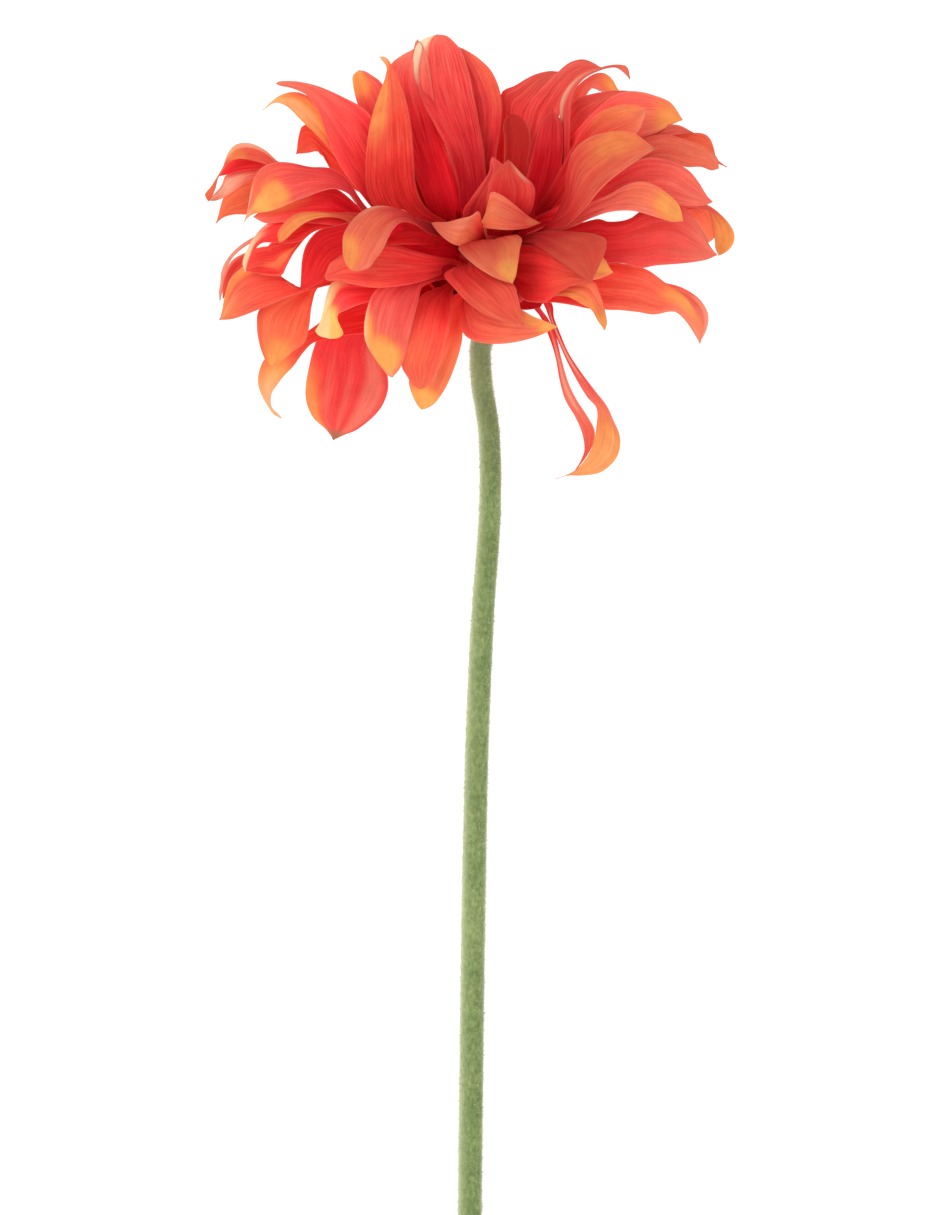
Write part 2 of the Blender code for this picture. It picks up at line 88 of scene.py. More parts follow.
def smooth_line(points, steps):
    """Evenly spaced points on a smooth curve through the given ones, and its length."""
    p = np.array(points, float)
    ends = np.vstack([2 * p[0] - p[1], p, 2 * p[-1] - p[-2]])
    t = np.linspace(0.0, 1.0, 12, endpoint=False)[:, None]
    spans = []
    for a, b, c, d in zip(ends, ends[1:], ends[2:], ends[3:]):
        bend = (2 * a - 5 * b + 4 * c - d) * t**2 + (3 * b - a - 3 * c + d) * t**3
        spans.append(0.5 * (2 * b + (c - a) * t + bend))
    fine = np.vstack(spans + [p[-1:]])
    run = np.concatenate([[0.0], np.cumsum(np.linalg.norm(np.diff(fine[:, :3], axis=0), axis=1))])
    at = np.linspace(0.0, run[-1], steps + 1)
    return np.column_stack([np.interp(at, run, fine[:, k]) for k in range(p.shape[1])]), run[-1]


def make_piece(name, points, faces, fields=None):
    """A mesh object from points in millimetres round the bloom's centre, with named point fields."""
    mesh = bpy.data.meshes.new(name)
    mesh.from_pydata(((np.asarray(points) + HEAD) * MM).tolist(), [], [tuple(face) for face in faces])
    for label, values in (fields or {}).items():
        layer = mesh.attributes.new(label, "FLOAT", "POINT")
        layer.data.foreach_set("value", np.asarray(values, np.float32))
    mesh.polygons.foreach_set("use_smooth", [True] * len(mesh.polygons))
    mesh.update()
    piece = bpy.data.objects.new(name, mesh)
    bpy.context.scene.collection.objects.link(piece)
    return piece


def tube_frame(line, first):
    """Side and up directions along a tube whose first section faces the given way."""
    along = unit(np.gradient(line[:, :3], axis=0))
    along[0] = first
    side = unit(np.cross(along, (0.0, 0.0, 1.0)))
    return side, np.cross(side, along)


def build_stem_skin():
    """The round skin, with fields for the way run from the bloom and for the painted light on its sides.

    Each side light gives its angle from the left, its spread in degrees, and how much it lightens the
    skin.
    """
    line, length = smooth_line(STEM_LINE, STEM_STEPS)
    side, up = tube_frame(line, -AXIS)
    turn = 2.0 * math.pi * np.arange(STEM_SIDES) / STEM_SIDES
    ring = np.cos(turn)[None, :, None] * side[:, None] + np.sin(turn)[None, :, None] * up[:, None]
    radius = line[:, 3, None] * (1.0 + STEM_RIB_SHARE * np.cos(STEM_RIBS * turn)[None])
    skin = line[:, None, :3] + ring * radius[..., None]
    points = np.vstack([line[:1, :3], skin.reshape(-1, 3), line[-1:, :3]])
    run = np.repeat(np.linspace(0.0, length, STEM_STEPS + 1), STEM_SIDES)
    around = np.tile(np.arange(STEM_SIDES) / STEM_SIDES, STEM_STEPS + 1)
    last = len(points) - 1
    faces = []
    for k in range(STEM_SIDES):
        n = (k + 1) % STEM_SIDES
        faces.append((0, 1 + n, 1 + k))
        for step in range(STEM_STEPS):
            low, high = 1 + step * STEM_SIDES, 1 + (step + 1) * STEM_SIDES
            faces.append((low + k, low + n, high + n, high + k))
        top = 1 + STEM_STEPS * STEM_SIDES
        faces.append((top + k, top + n, last))
    off_left = np.degrees(2.0 * math.pi * np.minimum(around, 1.0 - around))
    # Painted light: lightens both sides of the skin as seen from above, most on the left.
    painted_side_light = 0.0
    for middle, spread, amount in PAINTED_SIDE_LIGHT:
        painted_side_light = painted_side_light + amount * np.exp(-(((off_left - middle) / spread) ** 2))
    fields = {
        "run": np.concatenate([[0.0], run, [length]]),
        "painted_side_light": np.concatenate([[0.0], painted_side_light, [0.0]]),
    }
    return make_piece("stem_skin", points, faces, fields)


def spikes(name, roots, directions, lengths, width, number):
    """Slim closed three-sided spikes standing on the roots."""
    askew = unit(np.array([0.31, 0.17, 0.93]))
    spread = unit(np.cross(directions, askew[None]))
    other = np.cross(directions, spread)
    points, faces = [], []
    for k in range(3):
        turn = 2.0 * math.pi * k / 3
        points.append(roots + width * (math.cos(turn) * spread + math.sin(turn) * other))
    points.append(roots + directions * lengths[:, None])
    points = np.stack(points, axis=1).reshape(-1, 3)
    first = 4 * np.arange(len(roots))[:, None]
    faces = np.concatenate([first + part for part in ((0, 1, 3), (1, 2, 3), (2, 0, 3), (2, 1, 0))])
    return make_piece(name, points, faces.tolist(), {"number": np.repeat(number, 4)})


def build_stem_hairs():
    """Hairs all round the stem, leaning at random, without those that would reach the table."""
    draw = np.random.default_rng(11)
    line = smooth_line(STEM_LINE, STEM_STEPS)[0]
    side, up = tube_frame(line, -AXIS)
    at = draw.uniform(0.004, 0.998, STEM_HAIRS) * STEM_STEPS
    turn = draw.uniform(0.0, 2.0 * math.pi, STEM_HAIRS)
    step = at.astype(int)
    share = (at - step)[:, None]
    centre = line[step] * (1 - share) + line[step + 1] * share
    out = np.cos(turn)[:, None] * side[step] + np.sin(turn)[:, None] * up[step]
    along = unit(line[step + 1, :3] - line[step, :3])
    tilt = draw.normal(0.0, HAIR_LEAN, STEM_HAIRS)[:, None]
    twist = draw.normal(0.0, HAIR_LEAN, STEM_HAIRS)[:, None]
    direction = unit(out + along * tilt + np.cross(along, out) * twist)
    roots = centre[:, :3] + out * (centre[:, 3:4] - HAIR_ROOT)
    lengths = draw.uniform(*HAIR_LENGTH, STEM_HAIRS)
    tips = roots + direction * lengths[:, None]
    kept = tips[:, 2] > FLOOR_GAP - HEAD[2]
    number = draw.uniform(0, 1, kept.sum())
    return spikes("stem_hairs", roots[kept], direction[kept], lengths[kept], HAIR_WIDTH, number)


def new_material(name):
    """An empty node material with its shader, and short ways to add and join nodes."""
    material = bpy.data.materials.new(name)
    material.use_nodes = True
    tree = material.node_tree
    shader = tree.nodes["Principled BSDF"]

    def add(kind, **settings):
        node = tree.nodes.new(kind)
        for key, value in settings.items():
            if key in node.inputs:
                node.inputs[key].default_value = value
            else:
                setattr(node, key, value)
        return node

    def join(source, target):
        tree.links.new(source, target)

    return material, shader, add, join


def ramp(add, stops):
    """A colour ramp through (place, linear colour) pairs."""
    node = add("ShaderNodeValToRGB")
    elements = node.color_ramp.elements
    while len(elements) < len(stops):
        elements.new(0.5)
    for element, (place, colour) in zip(elements, stops):
        element.position = place
        element.color = (*colour, 1.0)
    return node


def stem_material():
    """Olive skin, mottled along its length, a little browner under the bloom, with painted light on its
    sides.
    """
    material, shader, add, join = new_material("stem skin")
    place = add("ShaderNodeTexCoord")
    stretched = add("ShaderNodeMapping")
    stretched.inputs["Scale"].default_value = (1.0, 0.6, 1.0)
    join(place.outputs["Object"], stretched.inputs["Vector"])
    mottle = add("ShaderNodeTexNoise", Scale=1400.0, Detail=5.0, Roughness=0.65)
    join(stretched.outputs["Vector"], mottle.inputs["Vector"])
    patches = add("ShaderNodeTexNoise", Scale=110.0, Detail=2.0)
    join(place.outputs["Object"], patches.inputs["Vector"])
    both = add("ShaderNodeMath", operation="MULTIPLY_ADD")
    both.inputs[1].default_value = 0.45
    join(patches.outputs["Fac"], both.inputs[0])
    join(mottle.outputs["Fac"], both.inputs[2])
    skin = ramp(add, ((0.5, (0.09, 0.14, 0.035)), (0.72, (0.16, 0.23, 0.062)), (0.92, (0.27, 0.34, 0.12))))
    join(both.outputs["Value"], skin.inputs["Fac"])
    run = add("ShaderNodeAttribute", attribute_name="run")
    top = add("ShaderNodeMapRange")
    top.inputs["From Min"].default_value = 0.0
    top.inputs["From Max"].default_value = 34.0
    top.inputs["To Min"].default_value = 0.5
    top.inputs["To Max"].default_value = 0.0
    join(run.outputs["Fac"], top.inputs["Value"])
    browned = add("ShaderNodeMix", data_type="RGBA")
    browned.inputs["B"].default_value = (0.19, 0.18, 0.085, 1.0)
    join(top.outputs["Result"], browned.inputs["Factor"])
    join(skin.outputs["Color"], browned.inputs["A"])
    # Painted light along both sides of the stem, as seen from above.
    sides = add("ShaderNodeAttribute", attribute_name="painted_side_light")
    side_lit_skin = add("ShaderNodeMix", data_type="RGBA")
    side_lit_skin.inputs["B"].default_value = (0.58, 0.64, 0.33, 1.0)
    join(sides.outputs["Fac"], side_lit_skin.inputs["Factor"])
    join(browned.outputs["Result"], side_lit_skin.inputs["A"])
    join(side_lit_skin.outputs["Result"], shader.inputs["Base Color"])
    bump = add("ShaderNodeBump", Strength=0.5, Distance=0.0002)
    join(mottle.outputs["Fac"], bump.inputs["Height"])
    join(bump.outputs["Normal"], shader.inputs["Normal"])
    shader.inputs["Roughness"].default_value = 0.75
    shader.inputs["Sheen Weight"].default_value = 0.6
    shader.inputs["Sheen Roughness"].default_value = 0.4
    return material


def hair_material():
    """Pale green to cream, each hair by its own number."""
    material, shader, add, join = new_material("stem hair")
    number = add("ShaderNodeAttribute", attribute_name="number")
    shades = ramp(add, ((0.0, (0.34, 0.40, 0.17)), (0.6, (0.60, 0.65, 0.36)), (1.0, (0.88, 0.90, 0.66))))
    join(number.outputs["Fac"], shades.inputs["Fac"])
    join(shades.outputs["Color"], shader.inputs["Base Color"])
    shader.inputs["Roughness"].default_value = 0.7
    return material


stem_skin = build_stem_skin()
stem_skin.data.materials.append(stem_material())
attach(stem_skin, "root")
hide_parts("stem")

stem_hairs = build_stem_hairs()
stem_hairs.data.materials.append(hair_material())
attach(stem_hairs, "root")

# The involucre
# A cup of narrow overlapping bracts that holds the bloom from below. They are green and downy,
# grow from the top of the stem, and lie on each other like roof tiles.

CUP = ((2.5, -18.6), (3.5, -17.6), (5.4, -15.0), (6.5, -12.0), (7.0, -9.8), (6.6, -9.0))
CUP_SIDES = 48
BRACT_ROWS = (
    (14, -17.6, -12.0, 2.9, 0.1),
    (18, -15.6, -10.4, 2.9, 0.35),
    (20, -13.4, -9.4, 2.7, 0.6),
)
BRACT_ALONG = 12
BRACT_ACROSS = 6
BRACT_HALF_THICKNESS = 0.12
BRACT_BULGE = 0.25


def turned_body(name, profile, centre_low, centre_high, sides):
    """A body turned round the flower's axis from radius and height pairs, low to high."""
    turn = 2.0 * math.pi * np.arange(sides) / sides
    out = np.cos(turn)[:, None] * RIGHT + np.sin(turn)[:, None] * FRONT
    rings = [AXIS * height + radius * out for radius, height in profile]
    points = np.vstack([[AXIS * centre_low], *rings, [AXIS * centre_high]])
    last = len(points) - 1
    faces = []
    for k in range(sides):
        n = (k + 1) % sides
        faces.append((0, 1 + n, 1 + k))
        for level in range(len(profile) - 1):
            low, high = 1 + level * sides, 1 + (level + 1) * sides
            faces.append((low + k, low + n, high + n, high + k))
        top = 1 + (len(profile) - 1) * sides
        faces.append((top + k, top + n, last))
    return make_piece(name, points, faces)


def sheet_faces(rows, columns, lower):
    """Faces of a closed thin blade whose upper grid comes first and whose lower grid follows."""
    number = np.arange(rows * columns).reshape(rows, columns)
    a, b, c, d = number[:-1, :-1], number[1:, :-1], number[1:, 1:], number[:-1, 1:]
    upper = np.stack([a, b, c, d], axis=-1).reshape(-1, 4)
    under = np.stack([a, d, c, b], axis=-1).reshape(-1, 4) + lower
    rim = np.concatenate([number[0, ::-1], number[1:, 0], number[-1, 1:], number[-2:0:-1, -1]])
    ahead = np.roll(rim, -1)
    edge = np.stack([rim, rim + lower, ahead + lower, ahead], axis=-1)
    return np.concatenate([upper, under, edge])


def grid_normals(grid):
    return unit(np.cross(np.gradient(grid, axis=0), np.gradient(grid, axis=1)))


def build_bracts():
    """Thin closed bracts in rows, each following the cup and standing off a little at its tip.

    A row gives its count, its lowest and highest place along the axis, its width, and its lift.
    """
    draw = np.random.default_rng(5)
    radii, heights = [r for r, _ in CUP[:-1]], [h for _, h in CUP[:-1]]
    points, faces, along_field = [], [], []
    for count, low, high, width, lift in BRACT_ROWS:
        for k in range(count):
            turn = 2.0 * math.pi * (k + draw.uniform(-0.12, 0.12) + 0.5 * lift) / count
            out = math.cos(turn) * RIGHT + math.sin(turn) * FRONT
            side = np.cross(AXIS, out)
            t = np.linspace(0.0, 1.0, BRACT_ALONG)
            height = low + (high + draw.uniform(-0.5, 0.4) - low) * t
            radius = np.interp(height, heights, radii) + 0.1 + lift * 0.5 + 0.55 * t**3
            half = np.maximum(width / 2.0 * (0.6 + 0.8 * t) * (1.0 - t**2.6), 0.08)
            v = np.linspace(-1.0, 1.0, BRACT_ACROSS)
            middle = AXIS * height[:, None, None] + out * radius[:, None, None]
            grid = middle + side * (half[:, None] * v)[..., None]
            grid = grid + out * (BRACT_BULGE * (1.0 - v**2))[None, :, None]
            outer = grid_normals(grid) * BRACT_HALF_THICKNESS
            lower = BRACT_ALONG * BRACT_ACROSS
            faces.append(sheet_faces(BRACT_ALONG, BRACT_ACROSS, lower) + 2 * lower * len(faces))
            points.append(np.stack([grid + outer, grid - outer]).reshape(-1, 3))
            along_field.append(np.tile(np.repeat(t, BRACT_ACROSS), 2))
    fields = {"along": np.concatenate(along_field)}
    return make_piece("bracts", np.vstack(points), np.concatenate(faces).tolist(), fields)


def bract_material():
    """Green bracts, darker at the tips, under a soft bloom of down."""
    material, shader, add, join = new_material("bract")
    place = add("ShaderNodeTexCoord")
    grain = add("ShaderNodeTexNoise", Scale=900.0, Detail=4.0)
    join(place.outputs["Object"], grain.inputs["Vector"])
    along = add("ShaderNodeAttribute", attribute_name="along")
    both = add("ShaderNodeMath", operation="MULTIPLY_ADD")
    both.inputs[1].default_value = 0.5
    join(grain.outputs["Fac"], both.inputs[0])
    join(along.outputs["Fac"], both.inputs[2])
    shades = ramp(add, ((0.2, (0.22, 0.29, 0.09)), (0.8, (0.12, 0.19, 0.045)), (1.3, (0.07, 0.10, 0.03))))
    join(both.outputs["Value"], shades.inputs["Fac"])
    join(shades.outputs["Color"], shader.inputs["Base Color"])
    bump = add("ShaderNodeBump", Strength=0.4, Distance=0.0002)
    join(grain.outputs["Fac"], bump.inputs["Height"])
    join(bump.outputs["Normal"], shader.inputs["Normal"])
    shader.inputs["Roughness"].default_value = 0.7
    shader.inputs["Sheen Weight"].default_value = 0.4
    return material


bract_green = bract_material()
cup = turned_body("involucre_cup", CUP, CUP[0][1], CUP[-1][1], CUP_SIDES)
cup.data.materials.append(bract_green)
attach(cup, "root")
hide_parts("involucre")

bracts = build_bracts()
bracts.data.materials.append(bract_green)
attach(bracts, "root")

# The upright petals at the back of the bloom
# Broad pointed ray petals that stand behind the centre: thin soft blades with lengthwise folds,
# rooted in the core. Each is drawn by its two edges as seen from above and by its height.

PETAL_THICKNESS = 0.34
RIM_THICKNESS = 0.1
PETAL_STEP = 0.8
PATTERN_STEP = 1.37
SPOT_HEART = 0.45
STEEPEST = 1.3
GROOVE_DEPTH = 0.02
GROOVE_WIDTH = 0.12
RIB_HEIGHT = 0.035
RIB_SPACING = (1.2, 1.6)
BROAD_FOLD = 0.035
WAVE_HEIGHT = 0.07
WAVE_LENGTH = (12.0, 18.0)
TONE_PLACES = (0.2, 0.6, 1.0)
# Where along each petal its painted light and shadow factors sit.
PAINTED_LIGHT_PLACES = (0.3, 0.9)
PETAL_COLUMNS = 31
TIP_HALF_WIDTH = 0.12
RING_RADIUS = (2.5, 5.0, 7.5, 9.0)
RING_HEIGHT = (1.0, -1.0, -4.0, -7.0)
UPWARD = (0.0, 0.35, 0.94)
LEVEL = (0.0, 0.0, 1.0)
FORWARD = (0.0, -0.3, 1.0)
CAMERA_DISTANCE = 2500.0
VIEW_CENTRE = np.array([-3.0, -70.5])


def petal(ring, tip, left, right, heights, **looks):
    """One petal: whorl from 0 inside to 3 outside, its tip, its edges, and heights from root to tip.

    Left and right are as seen from the core. face is the way the blade looks, claw its width at the
    root, cup how hollow it is, and folds how deep its folds are. tone is crimson at 0 and salmon at 1,
    near the root, in the middle and at the tip. The painted light factor paints light and shadow near
    the root and near the tip: below 1 it darkens the skin as shadow would, above 1 it brightens it as
    light would. warm turns coral to orange, streaks sets the fine lines, and rim paints a pale highlight
    along the edge. gold, pale and brown are spots (along, across, half length, half width, amount),
    with the left edge at +1 across.
    """
    usual = dict(face=UPWARD, claw=3.0, cup=0.1, folds=1.0, tone=(0.25, 0.55, 0.8), shade=(1.0, 1.0))
    usual.update(warm=0.0, gold=(), pale=(), brown=(), streaks=0.7, rim=0.1)
    unknown = set(looks) - set(usual)
    if unknown:
        raise ValueError(f"a petal has no {unknown}")
    usual.update(looks)
    return dict(usual, ring=ring, tip=tip, left=left, right=right, heights=heights)


def eased(x):
    x = np.clip(x, 0.0, 1.0)
    return x * x * (3.0 - 2.0 * x)


def through(values, t):
    """A smooth curve through evenly spaced values, read at t from 0 to 1."""
    p = np.array([2 * values[0] - values[1], *values, 2 * values[-1] - values[-2]], float)
    spans = len(values) - 1
    at = np.minimum((t * spans).astype(int), spans - 1)
    f = t * spans - at
    a, b, c, d = p[at], p[at + 1], p[at + 2], p[at + 3]
    bend = (2 * a - 5 * b + 4 * c - d) * f**2 + (3 * b - a - 3 * c + d) * f**3
    return 0.5 * (2 * b + (c - a) * f + bend)


def petal_sheet(one):
    """Middle surface of a petal between its edges: points as seen from above, t, v and half widths."""
    first = np.append((np.array(one["left"][0]) + one["right"][0]) / 2.0, one["heights"][0])
    out = unit(first - AXIS * (first @ AXIS))
    base = AXIS * RING_HEIGHT[one["ring"]] + out * RING_RADIUS[one["ring"]]
    run = unit(first[:2] - base[:2])
    side = np.array([-run[1], run[0]]) * one["claw"] / 2.0
    rails = [
        [base[:2] + side, *one["left"], one["tip"]],
        [base[:2] - side, *one["right"], one["tip"]],
    ]
    middle, length = smooth_line([base[:2], *one["left"], one["tip"]], 10)
    rise = np.abs(np.diff([base[2], *one["heights"]])).sum()
    steps = round(math.hypot(length, rise) / PETAL_STEP)
    left, right = (smooth_line(rail, steps)[0] for rail in rails)
    t = np.linspace(0.0, 1.0, steps + 1)
    v = np.linspace(-1.0, 1.0, PETAL_COLUMNS)
    reach = (left - right) / 2.0
    half = np.linalg.norm(reach, axis=1)
    way = unit(reach + 1e-6)
    half = np.maximum(half, TIP_HALF_WIDTH)
    height = through([base[2], *one["heights"]], t)
    face = np.array(one["face"], float)
    slope = np.clip(-(way @ face[:2]) / max(face[2], 0.1), -STEEPEST, STEEPEST) * eased(t / 0.4)
    flat = ((left + right) / 2.0)[:, None] + (way * half[:, None])[:, None] * v[None, :, None]
    level = height[:, None] + slope[:, None] * half[:, None] * v
    return np.concatenate([flat, level[..., None]], axis=-1), t, v, half, math.hypot(length, rise)


def relief(one, half, t, v, length, draw):
    """How far the skin stands out from the smooth blade: a mid groove, shallow ribs and a waved rim."""
    widest = half.max()
    across = widest * v[None]
    share = (half / widest)[:, None]
    open_part = (eased(t / 0.25) * eased((1.0 - t) / 0.15))[:, None]
    groove = -GROOVE_DEPTH * widest * np.exp(-((v / GROOVE_WIDTH) ** 2))[None]
    spacing = draw.uniform(*RIB_SPACING)
    ribs = RIB_HEIGHT * np.cos(2.0 * math.pi * across / spacing + draw.uniform(0.0, 6.3))
    turns = 2.0 * math.pi * draw.uniform(1.0, 1.5) * v + draw.uniform(-1.0, 1.0)
    broad = BROAD_FOLD * widest * np.cos(turns)[None]
    waves = np.zeros((len(t), len(v)))
    for sign in (-1.0, 1.0):
        count = length / draw.uniform(*WAVE_LENGTH)
        wave = np.sin(2.0 * math.pi * (count * t + draw.uniform(0.0, 1.0)))
        waves += WAVE_HEIGHT * half[:, None] * wave[:, None] * np.clip(sign * v, 0.0, 1.0)[None] ** 3
    return one["folds"] * ((groove + ribs + broad) * share * open_part + waves * eased(t / 0.4)[:, None])


def spots(listed, t, v):
    """A field of spots with an even heart and a soft rim, each at a place along and across."""
    if listed and not isinstance(listed[0], (tuple, list)):
        listed = (listed,)
    field = np.zeros((len(t), len(v)))
    for at, across, long, wide, amount in listed:
        distance = np.hypot((t[:, None] - at) / long, (v[None] - across) / wide)
        field = np.maximum(field, amount * (1.0 - eased(distance - SPOT_HEART)))
    return field


def true_places(seen):
    """Points at their true places, from where the camera sees them in the plane through the centre."""
    flat = VIEW_CENTRE + (seen[..., :2] - VIEW_CENTRE) * (1.0 - seen[..., 2:] / CAMERA_DISTANCE)
    return np.concatenate([flat, np.maximum(seen[..., 2:], FLOOR_GAP - HEAD[2])], axis=-1)


COLOUR_FIELDS = ("along", "across", "petal", "tone", "shade", "warm", "gold", "pale", "brown", "streaks")


def build_petals(name, listed, seed):
    """Joins the listed petals in one piece, with fields that steer the colour at every point."""
    draw = np.random.default_rng(seed)
    points, faces = [], []
    fields = {key: [] for key in COLOUR_FIELDS}
    shift = 0
    for number, one in enumerate(listed):
        sheet, t, v, half, length = ruled_sheet(one) if "mid_line" in one else petal_sheet(one)
        rows, columns = len(t), len(v)
        rise = one["cup"] * half[:, None] * (v**2 - 0.3) + relief(one, half, t, v, length, draw)
        grid = sheet + grid_normals(sheet) * rise[..., None]
        thin = PETAL_THICKNESS + (RIM_THICKNESS - PETAL_THICKNESS) * np.abs(v)[None] ** 4
        thin = np.minimum(thin, 0.9 * half[:, None] + 0.02)
        lift = grid_normals(grid) * thin[..., None] / 2.0
        lower = rows * columns
        both = np.stack([grid + lift, grid - lift])
        points.append(true_places(both).reshape(-1, 3))
        faces.append(sheet_faces(rows, columns, lower) + shift)
        shift += 2 * lower
        tone = np.interp(t, TONE_PLACES, one["tone"])
        # Painted light and shadow: each petal's brightness factor from root to tip.
        shade = np.interp(t, PAINTED_LIGHT_PLACES, one["shade"])
        # Painted highlight: a pale line along each edge, for the light caught by the thin rim.
        rim = one["rim"] * np.clip((np.abs(v) - 0.9) / 0.1, 0.0, 1.0)[None] ** 2 * eased(t / 0.5)[:, None]
        made = {
            "along": np.broadcast_to(length * t[:, None], (rows, columns)),
            "across": np.broadcast_to(half.max() * v, (rows, columns)),
            "petal": np.full((rows, columns), seed + number * PATTERN_STEP),
            "tone": np.broadcast_to(tone[:, None], (rows, columns)),
            "shade": np.broadcast_to(shade[:, None], (rows, columns)),
            "warm": np.full((rows, columns), one["warm"]),
            "gold": spots(one["gold"], t, v),
            "pale": np.maximum(spots(one["pale"], t, v), rim),
            "brown": spots(one["brown"], t, v),
            "streaks": np.full((rows, columns), one["streaks"]),
        }
        for key, values in made.items():
            fields[key].append(np.tile(np.asarray(values, float).reshape(-1), 2))
    joined = {key: np.concatenate(values) for key, values in fields.items()}
    return make_piece(name, np.vstack(points), np.concatenate(faces).tolist(), joined)


TONES = (
    (0.0, (0.42, 0.0015, 0.006)),
    (0.2, (0.56, 0.0045, 0.011)),
    (0.4, (0.80, 0.036, 0.039)),
    (0.6, (0.86, 0.092, 0.074)),
    (0.8, (0.90, 0.188, 0.122)),
    (1.0, (0.94, 0.30, 0.21)),
)
WARM_TONES = (
    (0.0, (0.42, 0.0015, 0.005)),
    (0.4, (0.80, 0.036, 0.018)),
    (0.8, (0.90, 0.20, 0.06)),
    (1.0, (0.93, 0.31, 0.085)),
)
GOLDS = ((0.0, (0.90, 0.14, 0.06)), (0.5, (0.92, 0.25, 0.078)), (1.0, (0.94, 0.39, 0.098)))
CREAM = (0.95, 0.64, 0.41, 1.0)
DRY_BROWN = (0.42, 0.17, 0.10, 1.0)


def petal_material():
    """Satin petal skin: crimson to salmon, with gold, cream and brown spots, fine long streaks, and
    painted light and shadow.
    """
    material, shader, add, join = new_material("petal skin")
    field = {}
    for name in COLOUR_FIELDS:
        field[name] = add("ShaderNodeAttribute", attribute_name=name).outputs["Fac"]

    def place_by(across_scale, along_scale):
        place = add("ShaderNodeCombineXYZ")
        scales = (("X", "across", across_scale), ("Y", "along", along_scale), ("Z", "petal", 3.1))
        for socket, source, scale in scales:
            scaled = add("ShaderNodeMath", operation="MULTIPLY")
            scaled.inputs[1].default_value = scale
            join(field[source], scaled.inputs[0])
            join(scaled.outputs["Value"], place.inputs[socket])
        return place.outputs["Vector"]

    def noise(across_scale, along_scale, detail, roughness=0.5):
        node = add("ShaderNodeTexNoise", Scale=1.0, Detail=detail, Roughness=roughness)
        join(place_by(across_scale, along_scale), node.inputs["Vector"])
        return node.outputs["Fac"]

    def remap(source, low, high, to_low, to_high):
        node = add("ShaderNodeMapRange")
        for key, value in (("From Min", low), ("From Max", high), ("To Min", to_low), ("To Max", to_high)):
            node.inputs[key].default_value = value
        join(source, node.inputs["Value"])
        return node.outputs["Result"]

    def combine(operation, first, second):
        node = add("ShaderNodeMath", operation=operation)
        for socket, value in zip(node.inputs, (first, second)):
            if isinstance(value, float):
                socket.default_value = value
            else:
                join(value, socket)
        return node.outputs["Value"]

    def blend(factor, first, second):
        node = add("ShaderNodeMix", data_type="RGBA")
        join(factor, node.inputs["Factor"])
        join(first, node.inputs["A"])
        if isinstance(second, tuple):
            node.inputs["B"].default_value = second
        else:
            join(second, node.inputs["B"])
        return node.outputs["Result"]

    fine = noise(2.6, 0.10, 3.0, 0.6)
    broad = noise(0.42, 0.07, 2.0)
    cloud = noise(0.25, 0.22, 2.0)
    grain = noise(3.6, 1.5, 3.0, 0.7)

    lines = combine("MULTIPLY", remap(fine, 0.32, 0.68, -1.0, 1.0), field["streaks"])
    patchy = combine("ADD", field["tone"], remap(broad, 0.3, 0.7, -0.07, 0.07))
    tone = combine("ADD", patchy, combine("MULTIPLY", lines, 0.13))
    step = remap(tone, 0.0, 1.25, 0.0, 1.0)
    reds = ramp(add, TONES)
    join(step, reds.inputs["Fac"])
    warm_reds = ramp(add, WARM_TONES)
    join(step, warm_reds.inputs["Fac"])
    red = blend(field["warm"], reds.outputs["Color"], warm_reds.outputs["Color"])
    uneven_gold = combine("MULTIPLY", field["gold"], remap(cloud, 0.3, 0.7, 0.85, 1.12))
    golds = ramp(add, GOLDS)
    join(uneven_gold, golds.inputs["Fac"])
    gilded = blend(remap(uneven_gold, 0.06, 0.6, 0.0, 1.0), red, golds.outputs["Color"])
    skin = blend(field["brown"], blend(field["pale"], gilded, CREAM), DRY_BROWN)
    clouded = remap(cloud, 0.3, 0.7, 0.91, 1.01)
    dusty = combine("ADD", clouded, remap(grain, 0.3, 0.7, -0.05, 0.05))
    unevenness = combine("ADD", combine("MULTIPLY", lines, 0.07), dusty)
    # Painted light and shadow: the skin colour is scaled by the petal's painted light factor and its
    # random unevenness.
    painted_lit_skin = add("ShaderNodeVectorMath", operation="SCALE")
    join(skin, painted_lit_skin.inputs["Vector"])
    join(combine("MULTIPLY", field["shade"], unevenness), painted_lit_skin.inputs["Scale"])
    join(painted_lit_skin.outputs["Vector"], shader.inputs["Base Color"])

    height = combine("ADD", fine, combine("MULTIPLY", broad, 2.0))
    bump = add("ShaderNodeBump", Strength=0.4, Distance=0.0003)
    join(height, bump.inputs["Height"])
    join(bump.outputs["Normal"], shader.inputs["Normal"])
    shader.inputs["Roughness"].default_value = 0.6
    shader.inputs["Specular IOR Level"].default_value = 0.08
    shader.inputs["Subsurface Weight"].default_value = 0.25
    shader.inputs["Subsurface Radius"].default_value = (1.0, 0.3, 0.2)
    shader.inputs["Subsurface Scale"].default_value = 0.0007
    return material


petal_skin = petal_material()


def dress_petals(name, listed, seed):
    """One piece of the listed petals, with the petal skin, that rides with the flower."""
    piece = build_petals(name, listed, seed)
    piece.data.materials.append(petal_skin)
    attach(piece, "root")
    return piece


